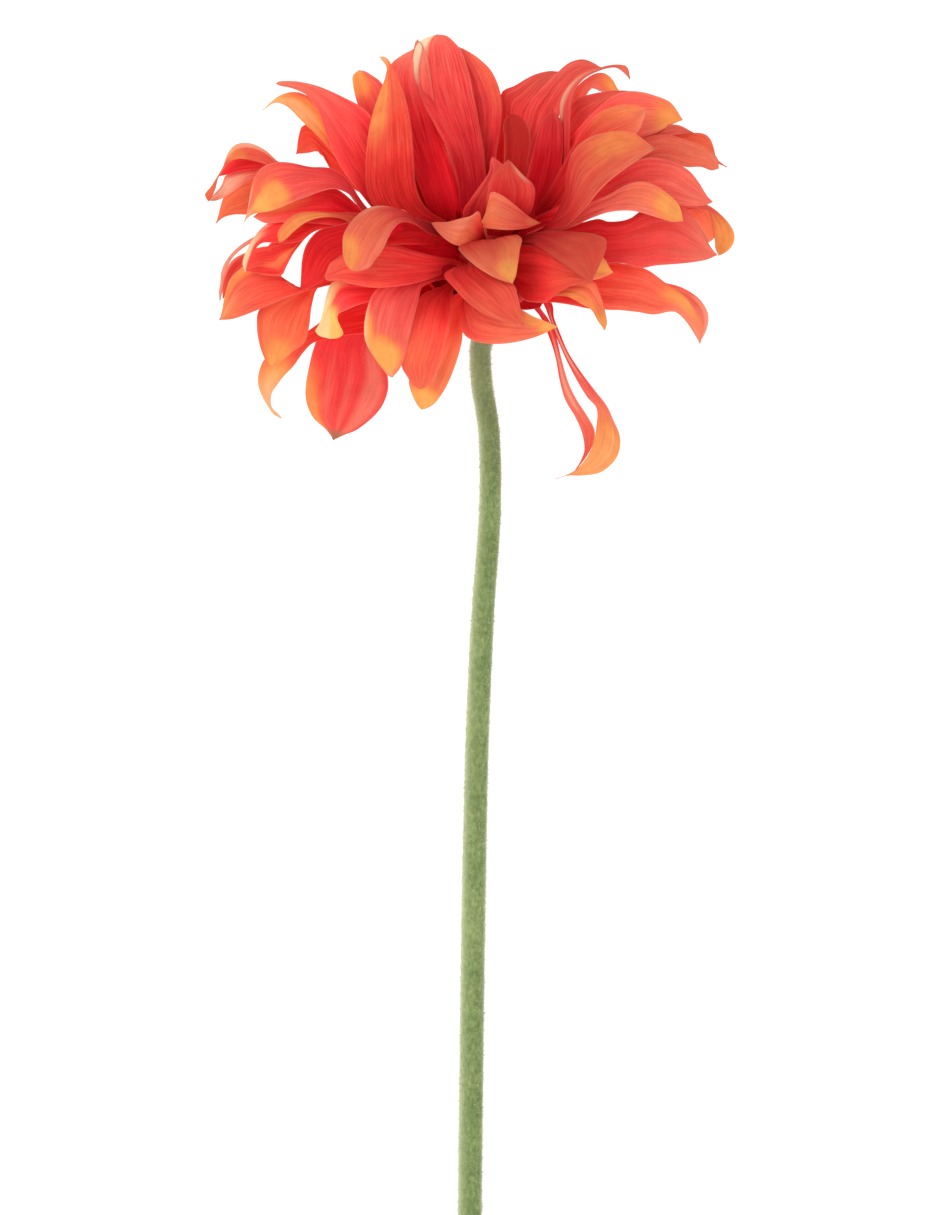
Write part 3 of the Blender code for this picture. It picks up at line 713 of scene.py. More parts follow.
BACK_PETALS = (
    petal(1, (-9.5, 44.1),
          left=((-4.8, 9), (-5.6, 15), (-7.5, 21), (-10.2, 26), (-12.5, 30.5), (-14, 35), (-14.4, 38.5),
                (-13.8, 41.5), (-12, 43.2)),
          right=((0, 9), (0.2, 15), (-0.3, 21), (-1.3, 27), (-2.4, 32), (-3.3, 36.5), (-4.6, 40.5),
                 (-6, 42.3), (-7.5, 43.6)),
          heights=(1, -1, -5, -10, -15), folds=0.5, tone=(0.22, 0.56, 0.9), shade=(0.85, 1.04),
          streaks=1.0,
          # Painted highlight: these pale spots along the left rim near the tip stand for light caught
          # where the lip curls over.
          pale=((0.93, 0.8, 0.1, 0.32, 1.1), (0.85, 0.95, 0.09, 0.24, 0.85),
                (0.79, 1.0, 0.06, 0.2, 0.5))),
    petal(2, (-5, 41.6),
          left=((-3, 12), (-5, 22), (-7, 32), (-7.5, 39)),
          right=((1.2, 14), (2.3, 20), (3.2, 26), (3.4, 30), (2.8, 33.2), (1.3, 36.5), (-1, 39),
                 (-3, 40.5)),
          heights=(-1, -5, -10, -15), tone=(0.3, 0.5, 0.85), streaks=0.8,
          gold=(0.8, -0.9, 0.2, 0.48, 0.25)),
    petal(2, (-13.4, 43.1),
          left=((-12.5, 12), (-15.5, 20), (-18, 27), (-19.6, 33), (-19.9, 36), (-18.6, 38.3),
                (-16.3, 40), (-14.3, 41.2), (-14.1, 42.4)),
          right=((-5, 12), (-8, 22), (-10, 30), (-11, 37), (-12.2, 41.5)),
          heights=(0.5, -3, -7.5, -13), tone=(0.2, 0.34, 1.2), shade=(1.35, 1.0),
          brown=(1.0, 0.0, 0.02, 2.0, 0.5)),
    petal(1, (-21.2, 39.6),
          left=((-14, 4), (-20.5, 7.5), (-23.4, 12), (-23.9, 17), (-23.6, 22), (-22.8, 27),
                (-21.3, 31.8), (-19.9, 35.5), (-19.6, 37.4), (-20.3, 38.6)),
          right=((-7, 6), (-11.5, 9), (-13.6, 13), (-14.2, 18), (-14.5, 23), (-15.1, 28), (-16.4, 32.6),
                 (-18, 36.4), (-19.2, 38.9), (-20.2, 39.7)),
          heights=(5.5, 6, 4.5, 2, -2, -6), tone=(0.1, 0.6, 0.9), shade=(0.95, 1.0), warm=0.5,
          streaks=0.9, gold=((0.79, 0.6, 0.17, 0.65, 0.6), (0.98, 0.0, 0.06, 1.5, 0.7)),
          pale=(1.0, 0.0, 0.04, 1.5, 0.4)),
    petal(2, (-25, 37),
          left=((-13, 8), (-20, 18), (-24, 26), (-25.6, 30.5), (-26.4, 34), (-26.4, 36)),
          right=((-9, 10), (-15, 22), (-18.5, 30), (-20.6, 34.2), (-22.8, 36), (-23.9, 36.7)),
          heights=(-4, -6, -7.5, -10), tone=(0.2, 0.5, 1.0), gold=(0.97, 0.5, 0.13, 1.0, 0.85)),
    petal(2, (14.8, 36.6),
          left=((2.2, 13), (2.3, 21), (3, 28), (3.3, 32.3), (6, 33.8), (8.5, 35.4), (10.5, 36.3),
                (13, 36.8)),
          right=((8, 13), (8.5, 20), (9.5, 27), (11.5, 32), (14, 35.5)),
          heights=(-5, -8, -9.5, -12, -15), tone=(0.3, 0.52, 0.92), shade=(1.3, 0.83), streaks=0.9),
    petal(1, (23.3, 37.4),
          left=((5.5, 11), (6, 18), (7.5, 25), (9, 30.5), (12, 34), (15, 37), (17, 38.5), (19.5, 39.1),
                (21.7, 38.4)),
          right=((11, 9), (11.5, 15), (13, 22), (14.8, 27.5), (16, 31), (18.2, 34.3), (20.5, 36.1),
                 (22.3, 37)),
          heights=(1, 0, -2, -4, -6, -8), tone=(0.2, 0.63, 0.92), shade=(1.2, 0.88), streaks=1.0),
    petal(1, (29, 35.2),
          left=((9, 6), (12.5, 13), (14.3, 20), (14.9, 26), (15.2, 30.5), (16.6, 33.3), (18.8, 35.7),
                (21.2, 37), (23.5, 37.6), (25.5, 38), (27.8, 38), (28.7, 37.2)),
          right=((13, 5), (16.5, 11), (17, 17), (17, 22), (17.2, 27), (17.2, 30.5), (18.2, 33.3),
                 (20, 35.4), (22.2, 36.7), (24.3, 37.4), (26.2, 37.5), (27.7, 36.5)),
          heights=(5, 7, 6, 3.5, 1, -2, -4), face=(-0.5, 0.6, 0.6), tone=(-0.1, 0.66, 1.1),
          shade=(0.75, 0.9), streaks=0.6,
          pale=((0.62, 0.8, 0.16, 0.38, 0.5), (0.75, 0.4, 0.12, 0.29, 0.3)),
          brown=(1.0, 0.0, 0.03, 2.0, 0.3)),
    petal(2, (26.7, 32.8),
          left=((10, 9), (13.5, 19), (16, 27), (17, 31.5), (19, 34.2), (21.5, 36), (23.5, 36.4),
                (25.2, 35.4), (26.2, 33.8)),
          right=((12, 8), (16, 18), (18.5, 26), (19.8, 31), (20.5, 32.3), (21.4, 33.3), (23, 32.7),
                 (25, 32.3)),
          heights=(-3, -4, -6, -8, -11), tone=(0.4, 0.75, 1.1), shade=(1.4, 1.05),
          gold=(0.99, 0.4, 0.1, 1.2, 0.85)),
    petal(0, (13.5, 29),
          left=((6, 8), (8, 14), (9.5, 20), (11, 26)),
          right=((11, 6), (14, 12), (15.5, 19), (15.5, 26)),
          heights=(6, 7, 5, 2), tone=(0.05, 0.12, 0.65), shade=(1.5, 0.8)),
)
back_petals = dress_petals("back_petals", BACK_PETALS, 21)
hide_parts("bloom")

# The petals on the left of the bloom
# Thin blades rooted in the core like the rest. They spread sideways and droop at their ends,
# where many turn an edge over and show its paler side.

LEFT_PETALS = (
    petal(1, (-41.9, 34.2),
          left=((-13, 3), (-19, 6.8), (-22.4, 9.2), (-24.5, 11.5), (-27.5, 15.3), (-30, 19.5),
                (-32, 24.5), (-33.3, 28.5), (-35.5, 31.8), (-38.5, 33.3), (-40.8, 33.8)),
          right=((-9, 6.5), (-14, 12), (-18.5, 19), (-21.5, 25.5), (-24.5, 29.2), (-28.5, 31.6),
                 (-33, 33.6), (-37, 34.6), (-39.5, 34.8), (-41.3, 34.7)),
          heights=(0.5, 1.5, 1, -0.5, -3.5), tone=(0.22, 0.56, 1.08), shade=(1.35, 0.97)),
    petal(1, (-44.4, 29),
          left=((-14, 4), (-20, 8), (-24.3, 12), (-28.2, 16.8), (-31, 21), (-34, 24.3), (-36.8, 27),
                (-39.3, 29.5), (-41.7, 30.5), (-43.3, 29.8)),
          right=((-13, 6), (-20, 12), (-26, 18.5), (-30, 24.5), (-33, 29.5), (-36, 32), (-38.5, 32.6),
                 (-41, 31.9), (-42.7, 30.7)),
          heights=(-1, 0, -0.5, -1.5, -3, -4.5), tone=(0.3, 0.8, 1.1), warm=0.5, rim=0.2,
          gold=((0.8, 0.2, 0.15, 1.0, 0.9), (1.0, 0.0, 0.14, 2.0, 1.0)),
          pale=((0.85, 0.3, 0.12, 0.6, 0.25), (1.0, 0.0, 0.06, 2.0, 0.4))),
    petal(2, (-37.7, 20.2),
          left=((-15, 6), (-24, 11.8), (-29, 15), (-31.3, 17.5), (-33, 20.6), (-35.3, 20.4)),
          right=((-14, 6), (-22, 14), (-28, 20), (-32, 23.5), (-36, 26), (-37.2, 23.6)),
          heights=(-2, -3, -5, -7, -9), tone=(0.3, 0.6, 0.72), warm=0.5),
    petal(2, (-55.2, 10.8),
          left=((-15, 2.5), (-28, 8.5), (-37, 14), (-43, 17.8), (-46, 18.8), (-49, 19.3), (-51, 18.6),
                (-52.4, 17), (-53.4, 15.3), (-53.9, 13.3), (-54.6, 11.6)),
          right=((-15, 5), (-24, 8.4), (-28, 12), (-35, 16.2), (-41, 18.4), (-44, 20.9), (-47, 22.3),
                 (-49.8, 22.1), (-51.5, 20.2), (-52.6, 17.3), (-54.6, 14), (-56.1, 12)),
          heights=(1, 5, 7, 8, 7.5, 6.5, 5.5, 5), tone=(0.1, 0.75, 0.9), shade=(1.0, 0.85), warm=0.4,
          gold=((0.81, 0.2, 0.04, 1.5, 0.55), (0.95, -0.6, 0.1, 0.8, 0.3)),
          pale=(0.8, -0.8, 0.14, 0.34, 0.45)),
    petal(2, (-53.3, 15.7),
          left=((-15, 2), (-28, 8), (-37, 13.5), (-43, 17), (-48, 16.8), (-51, 16.2)),
          right=((-15, 4.5), (-24, 8), (-28, 11), (-38, 16.8), (-44, 18.8), (-49, 19.5), (-51.5, 18.2)),
          heights=(-1, 2, 3.5, 4, 3.5, 3), tone=(0.1, 0.38, 0.48), shade=(1.25, 1.2)),
    petal(2, (-55.4, 10.9),
          left=((-15, 2), (-29, 7.5), (-40, 13.2), (-46, 15.2), (-49, 13.6), (-52, 11.6), (-54, 10.8)),
          right=((-15, 4), (-28, 9.5), (-38, 15.2), (-44, 17.5), (-49, 16.7), (-51.7, 15.9),
                 (-52.6, 13.9), (-54.3, 12)),
          heights=(-1, 1, 3, 3, 3, 3), face=(0, 0.6, 0.8), tone=(0.3, 0.68, 1.1), streaks=1.0,
          pale=(0.91, 0.0, 0.09, 0.8, 0.45)),
    petal(3, (-53.8, 6.3),
          left=((-16, 1), (-28, 5), (-38, 8), (-43, 9), (-47, 8.1), (-50, 8.1), (-52.3, 7.5)),
          right=((-16, 4), (-30, 11), (-41, 14.5), (-48, 15), (-51.7, 12.4), (-52.8, 10), (-53.3, 8)),
          heights=(-3, -2, -2.5, -3.5, -6), tone=(0.3, 0.72, 1.0), warm=0.7),
    petal(1, (-48.1, 6.7),
          left=((-12, 2), (-19, 5.5), (-24.5, 8.7), (-27, 11.6), (-30, 13.1), (-33, 12.6), (-36, 11.3),
                (-39.5, 9.9), (-43, 8.8), (-46, 8.3), (-47.3, 7.6)),
          right=((-12, 5), (-19, 7.2), (-23, 8.8), (-25.3, 11.2), (-28, 15.2), (-31, 17.3), (-35, 17.6),
                 (-38.5, 18.3), (-41.5, 18.4), (-44.3, 17.4), (-46, 15.3), (-46.9, 12.3), (-47.4, 9.3)),
          heights=(9, 13, 14, 14, 12, 8), face=(-0.1, 0.4, 0.9), tone=(0.0, 0.58, 1.05),
          shade=(0.78, 1.0), rim=0.2,
          gold=((0.83, 0.3, 0.06, 0.8, 0.9), (0.89, 0.35, 0.07, 0.8, 0.95), (0.95, 0.4, 0.06, 0.6, 0.6),
                (0.88, -0.5, 0.12, 0.7, 0.3)),
          pale=((0.95, -0.95, 0.07, 0.2, 0.4), (1.0, 0.0, 0.05, 0.8, 0.5))),
    petal(2, (-46.4, 7.6),
          left=((-13, 1), (-23, 4.5), (-31, 5.8), (-37, 6.5), (-41, 6.5), (-43.8, 6.3)),
          right=((-13, 3), (-23, 8), (-30, 13.2), (-36, 12.5), (-41, 10.5), (-45, 8.6)),
          heights=(7, 10.5, 12, 10.5, 8), tone=(0.12, 0.28, 1.0), shade=(1.4, 1.2),
          gold=(0.86, -0.5, 0.12, 0.6, 0.45)),
    petal(1, (-41.1, 2.5),
          left=((-11, 0.5), (-19, 3.5), (-25, 5.5), (-29, 7.3), (-32.5, 7.5), (-35.5, 6.7), (-38, 4.9),
                (-39.8, 3.2)),
          right=((-11, 4), (-19, 7.5), (-25, 8.3), (-30, 8.4), (-34.5, 8.7), (-38, 8.2), (-40.3, 6.2),
                 (-41.5, 4.2)),
          heights=(9, 13.5, 14.5, 14.5, 13), face=(0, 0.6, 0.8), tone=(0.05, 0.62, 1.0),
          shade=(0.6, 0.9), warm=0.6, gold=(0.9, 0.3, 0.26, 1.2, 0.65)),
    petal(2, (-47.9, -3.4),
          left=((-13, 0), (-24, 4), (-31, 5.3), (-34.2, 4.6), (-36, 3.3), (-38, 2.5), (-42, 2.4),
                (-44.2, 2.5), (-45.6, 1.6), (-46.2, 0.2), (-46.8, -1.4), (-47.4, -2.8)),
          right=((-13, 4), (-26, 7.5), (-35, 7.5), (-41, 7.2), (-44, 5.9), (-46.2, 3.5), (-47.6, 1),
                 (-48.5, -1.5)),
          heights=(8, 11, 12, 11, 9, 6.5), face=(0, 0.45, 0.9), tone=(0.2, 0.45, 0.68),
          shade=(1.6, 1.05), warm=0.3, gold=(0.95, -0.6, 0.12, 0.8, 0.7),
          pale=((0.94, -0.55, 0.11, 0.75, 0.75), (0.82, -1.0, 0.07, 0.3, 0.4))),
    petal(3, (-53, -9.1),
          left=((-16, 2.5), (-32, 6), (-37, 5), (-42, 4), (-46, 2.8), (-48.8, 1.1), (-50.7, -0.8),
                (-51.8, -3.2), (-52.3, -5.5), (-52.6, -7.5)),
          right=((-16, 5), (-32, 8), (-37, 7), (-42, 5.4), (-46.5, 3.4), (-49.5, 1.4), (-51.5, -0.8),
                 (-52.6, -3), (-52.9, -5.5), (-53.2, -7.5)),
          heights=(-1, 1, 2, 1, -1, -4), face=(-0.5, 0.6, 0.6), tone=(0.5, 0.9, 1.1), shade=(0.9, 0.85),
          streaks=0.8, pale=(0.85, 0.0, 0.3, 0.72, 0.3)),
    petal(3, (-52.4, -8.7),
          left=((-16, 2.5), (-28, 5), (-34, 5.2), (-37, 3.6), (-39.5, 1.2), (-44, -2.6), (-48, -4.5),
                (-51, -7), (-52, -8.3)),
          right=((-16, 5), (-28, 7), (-35, 7), (-39, 5), (-41.6, 2.2), (-44.5, 0.4), (-47.5, 0.5),
                 (-50.3, -0.9), (-51.7, -3), (-52.5, -6)),
          heights=(-2, 0, 0, -1, -3, -6), tone=(0.4, 0.65, 0.75), shade=(1.15, 1.1),
          pale=(0.86, -1.0, 0.07, 0.2, 0.45)),
    petal(2, (-48.2, -3),
          left=((-14, 2.5), (-25, 5.2), (-33.5, 5.3), (-36, 3.3), (-37.4, 1.6), (-38.6, -0.2),
                (-39.6, -2.3), (-40.5, -4.2), (-43, -4.2), (-46, -3.6)),
          right=((-14, 5), (-25, 7.5), (-33, 6.5), (-37.3, 3), (-40, 2.7), (-42.7, 2.3), (-43.2, 1.7),
                 (-45.2, 1.4), (-47, 0.6)),
          heights=(2, 5, 6.5, 6, 5, 3), tone=(0.4, 0.6, 0.62), shade=(1.3, 1.1), warm=0.3,
          gold=(0.8, 0.25, 0.1, 0.35, 0.45)),
    petal(2, (-53.1, -13),
          left=((-14, -2), (-25, -5), (-31, -6), (-35, -7), (-38.5, -8.2), (-42, -9.6), (-45.5, -11),
                (-48, -12), (-50.5, -12.8)),
          right=((-14, 1), (-25, -2), (-32, -4.5), (-36, -6), (-38.4, -6.6), (-40.2, -4.8), (-43, -2.5),
                 (-47, -2), (-49, -3), (-51, -5), (-52.1, -8.5), (-52.5, -11)),
          heights=(1, 4, 5, 4.5, 3, 0, -5), face=(0, 0.3, 0.95), tone=(0.3, 0.54, 1.0),
          shade=(1.15, 0.94), warm=0.4, streaks=0.8, rim=0.2,
          gold=((1.0, -0.2, 0.12, 1.5, 0.5), (0.86, -0.95, 0.2, 0.4, 0.65)),
          pale=(1.0, -0.2, 0.12, 0.29, 0.2)),
    petal(1, (-36.9, -6.6),
          left=((-9, 1.5), (-17, 2), (-24, 1.5), (-29, -0.5), (-31.5, -3), (-32.5, -5), (-34, -6),
                (-35.5, -6.8)),
          right=((-9, 5), (-17, 7), (-25, 7), (-30.5, 5.8), (-33.4, 4.9), (-35.5, 2.2), (-36.4, -1),
                 (-36.7, -4)),
          heights=(11, 17, 19, 18, 16, 13), face=(-0.3, 0.3, 0.9), folds=1.6, tone=(0.1, 0.08, 0.42),
          shade=(1.4, 1.12), warm=0.4),
    petal(0, (-20.8, 4),
          left=((-7, -1), (-11, -0.8), (-15, 0), (-18.5, 0.8), (-20.5, 1.2)),
          right=((-7.5, 4), (-11, 4.3), (-13, 6), (-15.5, 8), (-17.5, 9)),
          heights=(9, 13, 16, 19, 21), face=LEVEL, folds=1.5, tone=(0.0, 0.12, 0.25), shade=(1.6, 1.5)),
    petal(0, (-26.2, -3.2),
          left=((-7.5, 3), (-11, 4.5), (-14, 6.3), (-16.6, 6.6), (-18.4, 5.2), (-19.6, 3.2),
                (-20.8, 0.8), (-22, -0.9), (-22.9, -2.3), (-24.6, -3.1)),
          right=((-7, 5), (-11, 6.5), (-14.2, 7.6), (-16.5, 8.9), (-19.5, 10), (-23, 9.7), (-26, 7.6),
                 (-28.2, 4.4), (-28.6, 1.5), (-28.4, -0.6), (-27.6, -2.4)),
          heights=(14, 19, 23, 26, 27, 26.5, 25), face=(-0.2, 0.2, 0.95), cup=-0.1,
          tone=(-0.3, 0.84, 1.0), shade=(0.6, 0.86), warm=0.25, rim=0.15,
          gold=((0.88, -0.45, 0.12, 0.7, 0.7), (0.7, 0.0, 0.15, 0.8, 0.2)),
          pale=(0.55, -1.0, 0.12, 0.29, 0.25)),
    petal(2, (-42.8, -22.4),
          left=((-12, -4), (-22, -5), (-29, -4.5), (-33.3, -6.4), (-34.6, -10), (-35.1, -14),
                (-35.8, -17), (-38, -18.8), (-40, -20.5), (-41.8, -22)),
          right=((-12, 0), (-24, -2.5), (-34, -5.3), (-38, -7.2), (-42, -8.8), (-45.2, -11),
                 (-45.6, -14.5), (-45, -18), (-44.2, -20.3), (-43.7, -21.6)),
          heights=(0, 2, 3, 2, 0, -3, -6), face=(0, 0.2, 0.98), tone=(0.35, 0.64, 1.1),
          shade=(1.3, 0.95), warm=0.6, gold=(0.97, 0.3, 0.13, 1.2, 0.85)),
    petal(3, (-40.8, -32.6),
          left=((-11, -9), (-20, -15), (-28.3, -16), (-33.8, -17.2), (-36.3, -19.4), (-38.2, -22),
                (-40, -23.8), (-41.5, -25.8), (-42.7, -27.8), (-42.7, -30.3), (-41.3, -31.8)),
          right=((-11, -4.5), (-22, -7.8), (-29, -10.4), (-33.5, -13.8), (-38, -17), (-41.5, -19.5),
                 (-44, -20.6), (-45.2, -23.3), (-45.4, -25.6), (-44.8, -27.8), (-43.6, -30),
                 (-42.3, -31.9)),
          heights=(-6, -8, -9, -9, -11, -13, -16, -18, -20), face=LEVEL, tone=(0.15, 0.6, 1.2),
          shade=(1.3, 1.0), warm=0.4, gold=((0.86, 0.1, 0.15, 1.6, 0.85), (1.0, 0.0, 0.14, 2.0, 0.95)),
          pale=(0.94, 0.2, 0.14, 1.5, 0.4)),
    petal(2, (-30.8, -16.7),
          left=((-8, -4.5), (-16, -8), (-23.5, -9.4), (-27, -10.7), (-29.4, -12), (-29, -14),
                (-28.3, -15.6), (-29.2, -16.5)),
          right=((-8, -1), (-17, -4.5), (-25, -5.3), (-30.2, -5.3), (-31.6, -8), (-32.3, -11),
                 (-33, -13.6), (-33.9, -15), (-33, -16.1)),
          heights=(8, 12, 13, 12, 9.5, 7), face=(-0.2, 0.3, 0.93), tone=(0.3, 0.45, 0.9),
          shade=(1.5, 1.35), gold=((0.91, 0.1, 0.14, 1.4, 1.2), (0.77, -0.9, 0.13, 0.6, 1.1)),
          pale=((0.9, -0.6, 0.12, 0.7, 0.4), (0.76, -0.95, 0.12, 0.5, 0.5))),
    petal(1, (-32.2, -4.6),
          left=((-6.5, -3.4), (-10, -4.5), (-14, -5.7), (-18, -6.5), (-22, -6.6), (-26, -6),
                (-29.5, -5.3), (-31.3, -5.2)),
          right=((-6.5, -0.8), (-10, -0.3), (-14, 0.8), (-18, 2.2), (-22, 2.6), (-26, 2), (-29, 0.7),
                 (-30.7, -1.2), (-31.8, -3.6)),
          heights=(14, 19, 21, 20, 18), face=(0, 0.3, 0.95), tone=(0.34, 0.6, 0.78), shade=(1.1, 0.98),
          warm=0.3),
)
dress_petals("left_petals", LEFT_PETALS, 41)

# The petals that hang toward the stem
# The lowest ones of the bloom, broad and close to the viewer, with gold at their hanging tips.
# Two short crimson ones lie deep among their roots. All are rooted in the core.

FRONT_PETALS = (
    petal(3, (-30.3, -37),
          left=((-5, -9), (-14, -11), (-20, -15), (-20.6, -20), (-19.4, -24.3), (-19.4, -27),
                (-20.5, -30), (-22.5, -32.6), (-25.5, -34.9), (-28, -35.9)),
          right=((-9, -7), (-20, -11), (-29, -14), (-33, -16), (-34.2, -18.5), (-35, -21.5),
                 (-35.8, -26), (-35.6, -29.5), (-34.3, -32.6), (-32, -34.7), (-30.9, -36)),
          heights=(-12, -20, -27, -32, -35.5, -37.6), face=LEVEL, cup=0.05, tone=(0.27, 0.52, 0.74),
          shade=(1.12, 1.03), streaks=0.5, gold=(0.84, -0.95, 0.17, 0.38, 0.6),
          pale=((0.84, -0.45, 0.2, 0.12, 0.1), (0.84, 0.05, 0.2, 0.1, 0.09),
                (0.76, 0.65, 0.26, 0.25, 0.2)), brown=(0.985, 0.2, 0.05, 1.2, 0.9)),
    petal(2, (-18.5, -24.4),
          left=((-4, -4.5), (-8.5, -5), (-12.3, -6), (-13.4, -9.5), (-14.5, -13.5), (-15.3, -17),
                (-16.1, -20.5), (-17.2, -22.9)),
          right=((-6, -2), (-12, -3.5), (-18, -4.5), (-22, -7), (-23.7, -11), (-24.2, -15),
                 (-23.7, -17.8), (-22, -20.7), (-20.3, -23), (-19.3, -24.2)),
          heights=(12, 17.5, 19.5, 19, 17.5, 15), face=FORWARD, tone=(0.08, 0.78, 1.1),
          shade=(0.86, 0.95), gold=((0.87, -0.2, 0.12, 1.0, 1.1), (0.76, -0.95, 0.12, 0.4, 0.8)),
          pale=((0.72, -1.0, 0.12, 0.14, 0.5), (0.98, -0.2, 0.04, 0.8, 0.25))),
    petal(2, (-12.8, -26.8),
          left=((-3, -5.5), (-6, -6.5), (-6.8, -9.5), (-7, -13), (-7.8, -17), (-9, -21), (-10.3, -24.3),
                (-11.6, -26.2)),
          right=((-5.5, -5), (-9.5, -6.8), (-12.8, -8.2), (-14.4, -12), (-15.3, -16), (-16.2, -20),
                 (-16.7, -22), (-15.6, -24.2), (-14.2, -26.2)),
          heights=(8, 13, 17, 17, 15, 12.5), face=FORWARD, tone=(0.15, 0.68, 0.9), shade=(1.1, 0.94),
          warm=0.4, gold=(0.73, -0.3, 0.12, 0.7, 0.22)),
    petal(3, (-12.6, -30.9),
          left=((-0.5, -8), (-3, -10.5), (-4.3, -14), (-4.7, -17.5), (-5.8, -21.5), (-7.6, -26),
                (-9.8, -29.4), (-11.4, -30.5)),
          right=((-2.5, -6), (-7, -9), (-11, -14), (-14, -20), (-15.2, -24.5), (-14.7, -27.5),
                 (-13.6, -29.9)),
          heights=(7, 11.5, 12.5, 11.5, 9.5, 6.5), face=FORWARD, tone=(0.4, 1.0, 1.1), shade=(1.3, 1.0),
          warm=0.4, gold=((0.95, 0.0, 0.14, 2.0, 1.0), (0.68, 0.9, 0.3, 0.5, 0.35))),
    petal(3, (-9, -15),
          left=((-1, -4), (-3, -8), (-5, -13)),
          right=((-7, -1.5), (-13, -5), (-13, -11)),
          heights=(0, 3, 3, 1), tone=(0.0, 0.1, 0.2)),
    petal(3, (11, -10.5),
          left=((3, -3), (8, -5), (12, -8)),
          right=((2, -7), (4, -10), (7.5, -11)),
          heights=(-2, -3, -4), tone=(0.0, 0.1, 0.15)),
    petal(2, (14.5, -14.3),
          left=((-3, -7), (0, -9), (4, -9.8), (7, -10.8), (9.5, -12.2), (12, -13.2)),
          right=((-4.5, -8), (-4.6, -12), (-4.3, -15.5), (-2.5, -17.1), (1, -17.8), (5, -17.6),
                 (9, -16.7), (12, -15.6)),
          heights=(10, 15.5, 18, 18.5, 18, 15.5), face=LEVEL, tone=(0.55, 0.96, 1.1), shade=(1.0, 1.02),
          warm=0.3, gold=((0.98, 0.2, 0.16, 1.6, 1.0), (0.8, 0.9, 0.15, 0.8, 0.7))),
    petal(1, (7.6, -13.9),
          left=((-1.5, -1.5), (2, -3.5), (5.6, -5.8), (6.6, -8.6), (7.2, -11.3)),
          right=((-5.5, -2.5), (-8.2, -4.1), (-6.4, -6.5), (-3.6, -9.3), (-0.5, -11.6), (3, -13),
                 (5.5, -13.7)),
          heights=(16, 20.5, 23.5, 24, 23), face=LEVEL, cup=0.05, tone=(0.35, 0.7, 0.86),
          shade=(0.85, 0.84), warm=0.4),
)
dress_petals("front_petals", FRONT_PETALS, 61)

# The short petals round the centre
# Small folded petals that grow from the core's top, stand over the middle, and hide the florets
# below them. Their backs are coral, darkened by painted shadow, with gold where they fold over.

CENTRE_PETALS = (
    petal(0, (-10.9, 6.5),
          left=((-1.2, 1.9), (-2.3, 1.3), (-4.5, 1.6), (-7, 2.5), (-9.2, 4.3)),
          right=((-0.8, 7.5), (-1.3, 8.8), (-3, 7.8), (-5, 7.3), (-7.5, 6.6), (-9.3, 6.6)),
          heights=(12, 18, 20.5, 21, 20.3), face=LEVEL, cup=0.05, folds=0.6, tone=(0.2, 1.1, 0.85),
          shade=(0.95, 0.71), warm=0.3, gold=(0.48, 0.5, 0.2, 0.8, 0.3)),
    petal(0, (11.1, 6.4),
          left=((0.8, 10.5), (1.4, 12.6), (3.5, 11.9), (6, 10), (8.5, 7.9)),
          right=((-0.2, 6), (-0.8, 5.6), (1.5, 5.2), (5, 5), (8.5, 5.4)),
          heights=(10, 16, 19.5, 20.5, 19.5), face=LEVEL, cup=0.05, folds=0.6, tone=(1.0, 0.95, 0.5),
          shade=(1.0, 0.66), warm=0.35,
          gold=((0.5, -0.2, 0.12, 1.0, 0.35), (0.95, 0.0, 0.1, 1.0, 0.4))),
    petal(0, (4.7, 19.2),
          left=((0, 7), (0.4, 11), (0.8, 14.3), (2, 16.5), (3.6, 18.1)),
          right=((6, 5.5), (9, 8.5), (10, 12), (9.7, 14), (8, 15.6), (6.3, 17.4)),
          heights=(8, 14, 15.5, 14.5), face=LEVEL, cup=0.05, tone=(0.15, 0.5, 0.78), shade=(1.05, 0.7),
          warm=0.3, pale=(0.85, -0.9, 0.12, 0.29, 0.3)),
    petal(0, (1.4, 19.8),
          left=((-3.6, 4.5), (-4.4, 8.6), (-2.9, 11.2), (-0.9, 14), (0.8, 16.6), (1, 18.5)),
          right=((2, 7), (2.6, 12), (3.8, 15.5), (3.7, 17.8), (2.5, 18.9)),
          heights=(5, 11, 12.5, 11.5), face=LEVEL, cup=0.05, tone=(0.28, 0.64, 0.74),
          shade=(0.9, 0.95)),
    petal(0, (5.4, 28.2),
          left=((2.8, 9), (3.3, 14), (3.8, 19), (3.9, 23), (3.6, 25.3), (4, 27)),
          right=((7, 8), (7.8, 13), (8.4, 18), (9.1, 22), (8.9, 24.5), (8, 26.6), (6.7, 27.8)),
          heights=(2, 4.5, 5, 2.5), face=LEVEL, cup=0.3, tone=(0.12, 0.3, 0.5), shade=(1.1, 0.62),
          warm=0.6, streaks=0.2, rim=0.12),
    petal(0, (5.5, -5.7),
          left=((5, 3.6), (7.4, 3.1), (7, 1), (6.6, -1.5), (6.2, -4)),
          right=((-2, 3), (-5.3, 1.7), (-4.2, -0.2), (-2, -2.2), (0.5, -3.8), (3, -5)),
          heights=(12, 19, 23.5, 25, 24.3), face=LEVEL, cup=0.05, folds=0.6, tone=(0.35, 0.9, 1.1),
          shade=(0.62, 0.8), warm=0.4, gold=((0.86, 0.3, 0.2, 0.9, 0.85), (0.62, 0.6, 0.15, 0.6, 0.4))),
)
dress_petals("centre_petals", CENTRE_PETALS, 71)

# The petals on the right of the bloom
# Thin blades rooted in the core, which fan out in three tiers, coral near the core and gold where
# their ends droop.

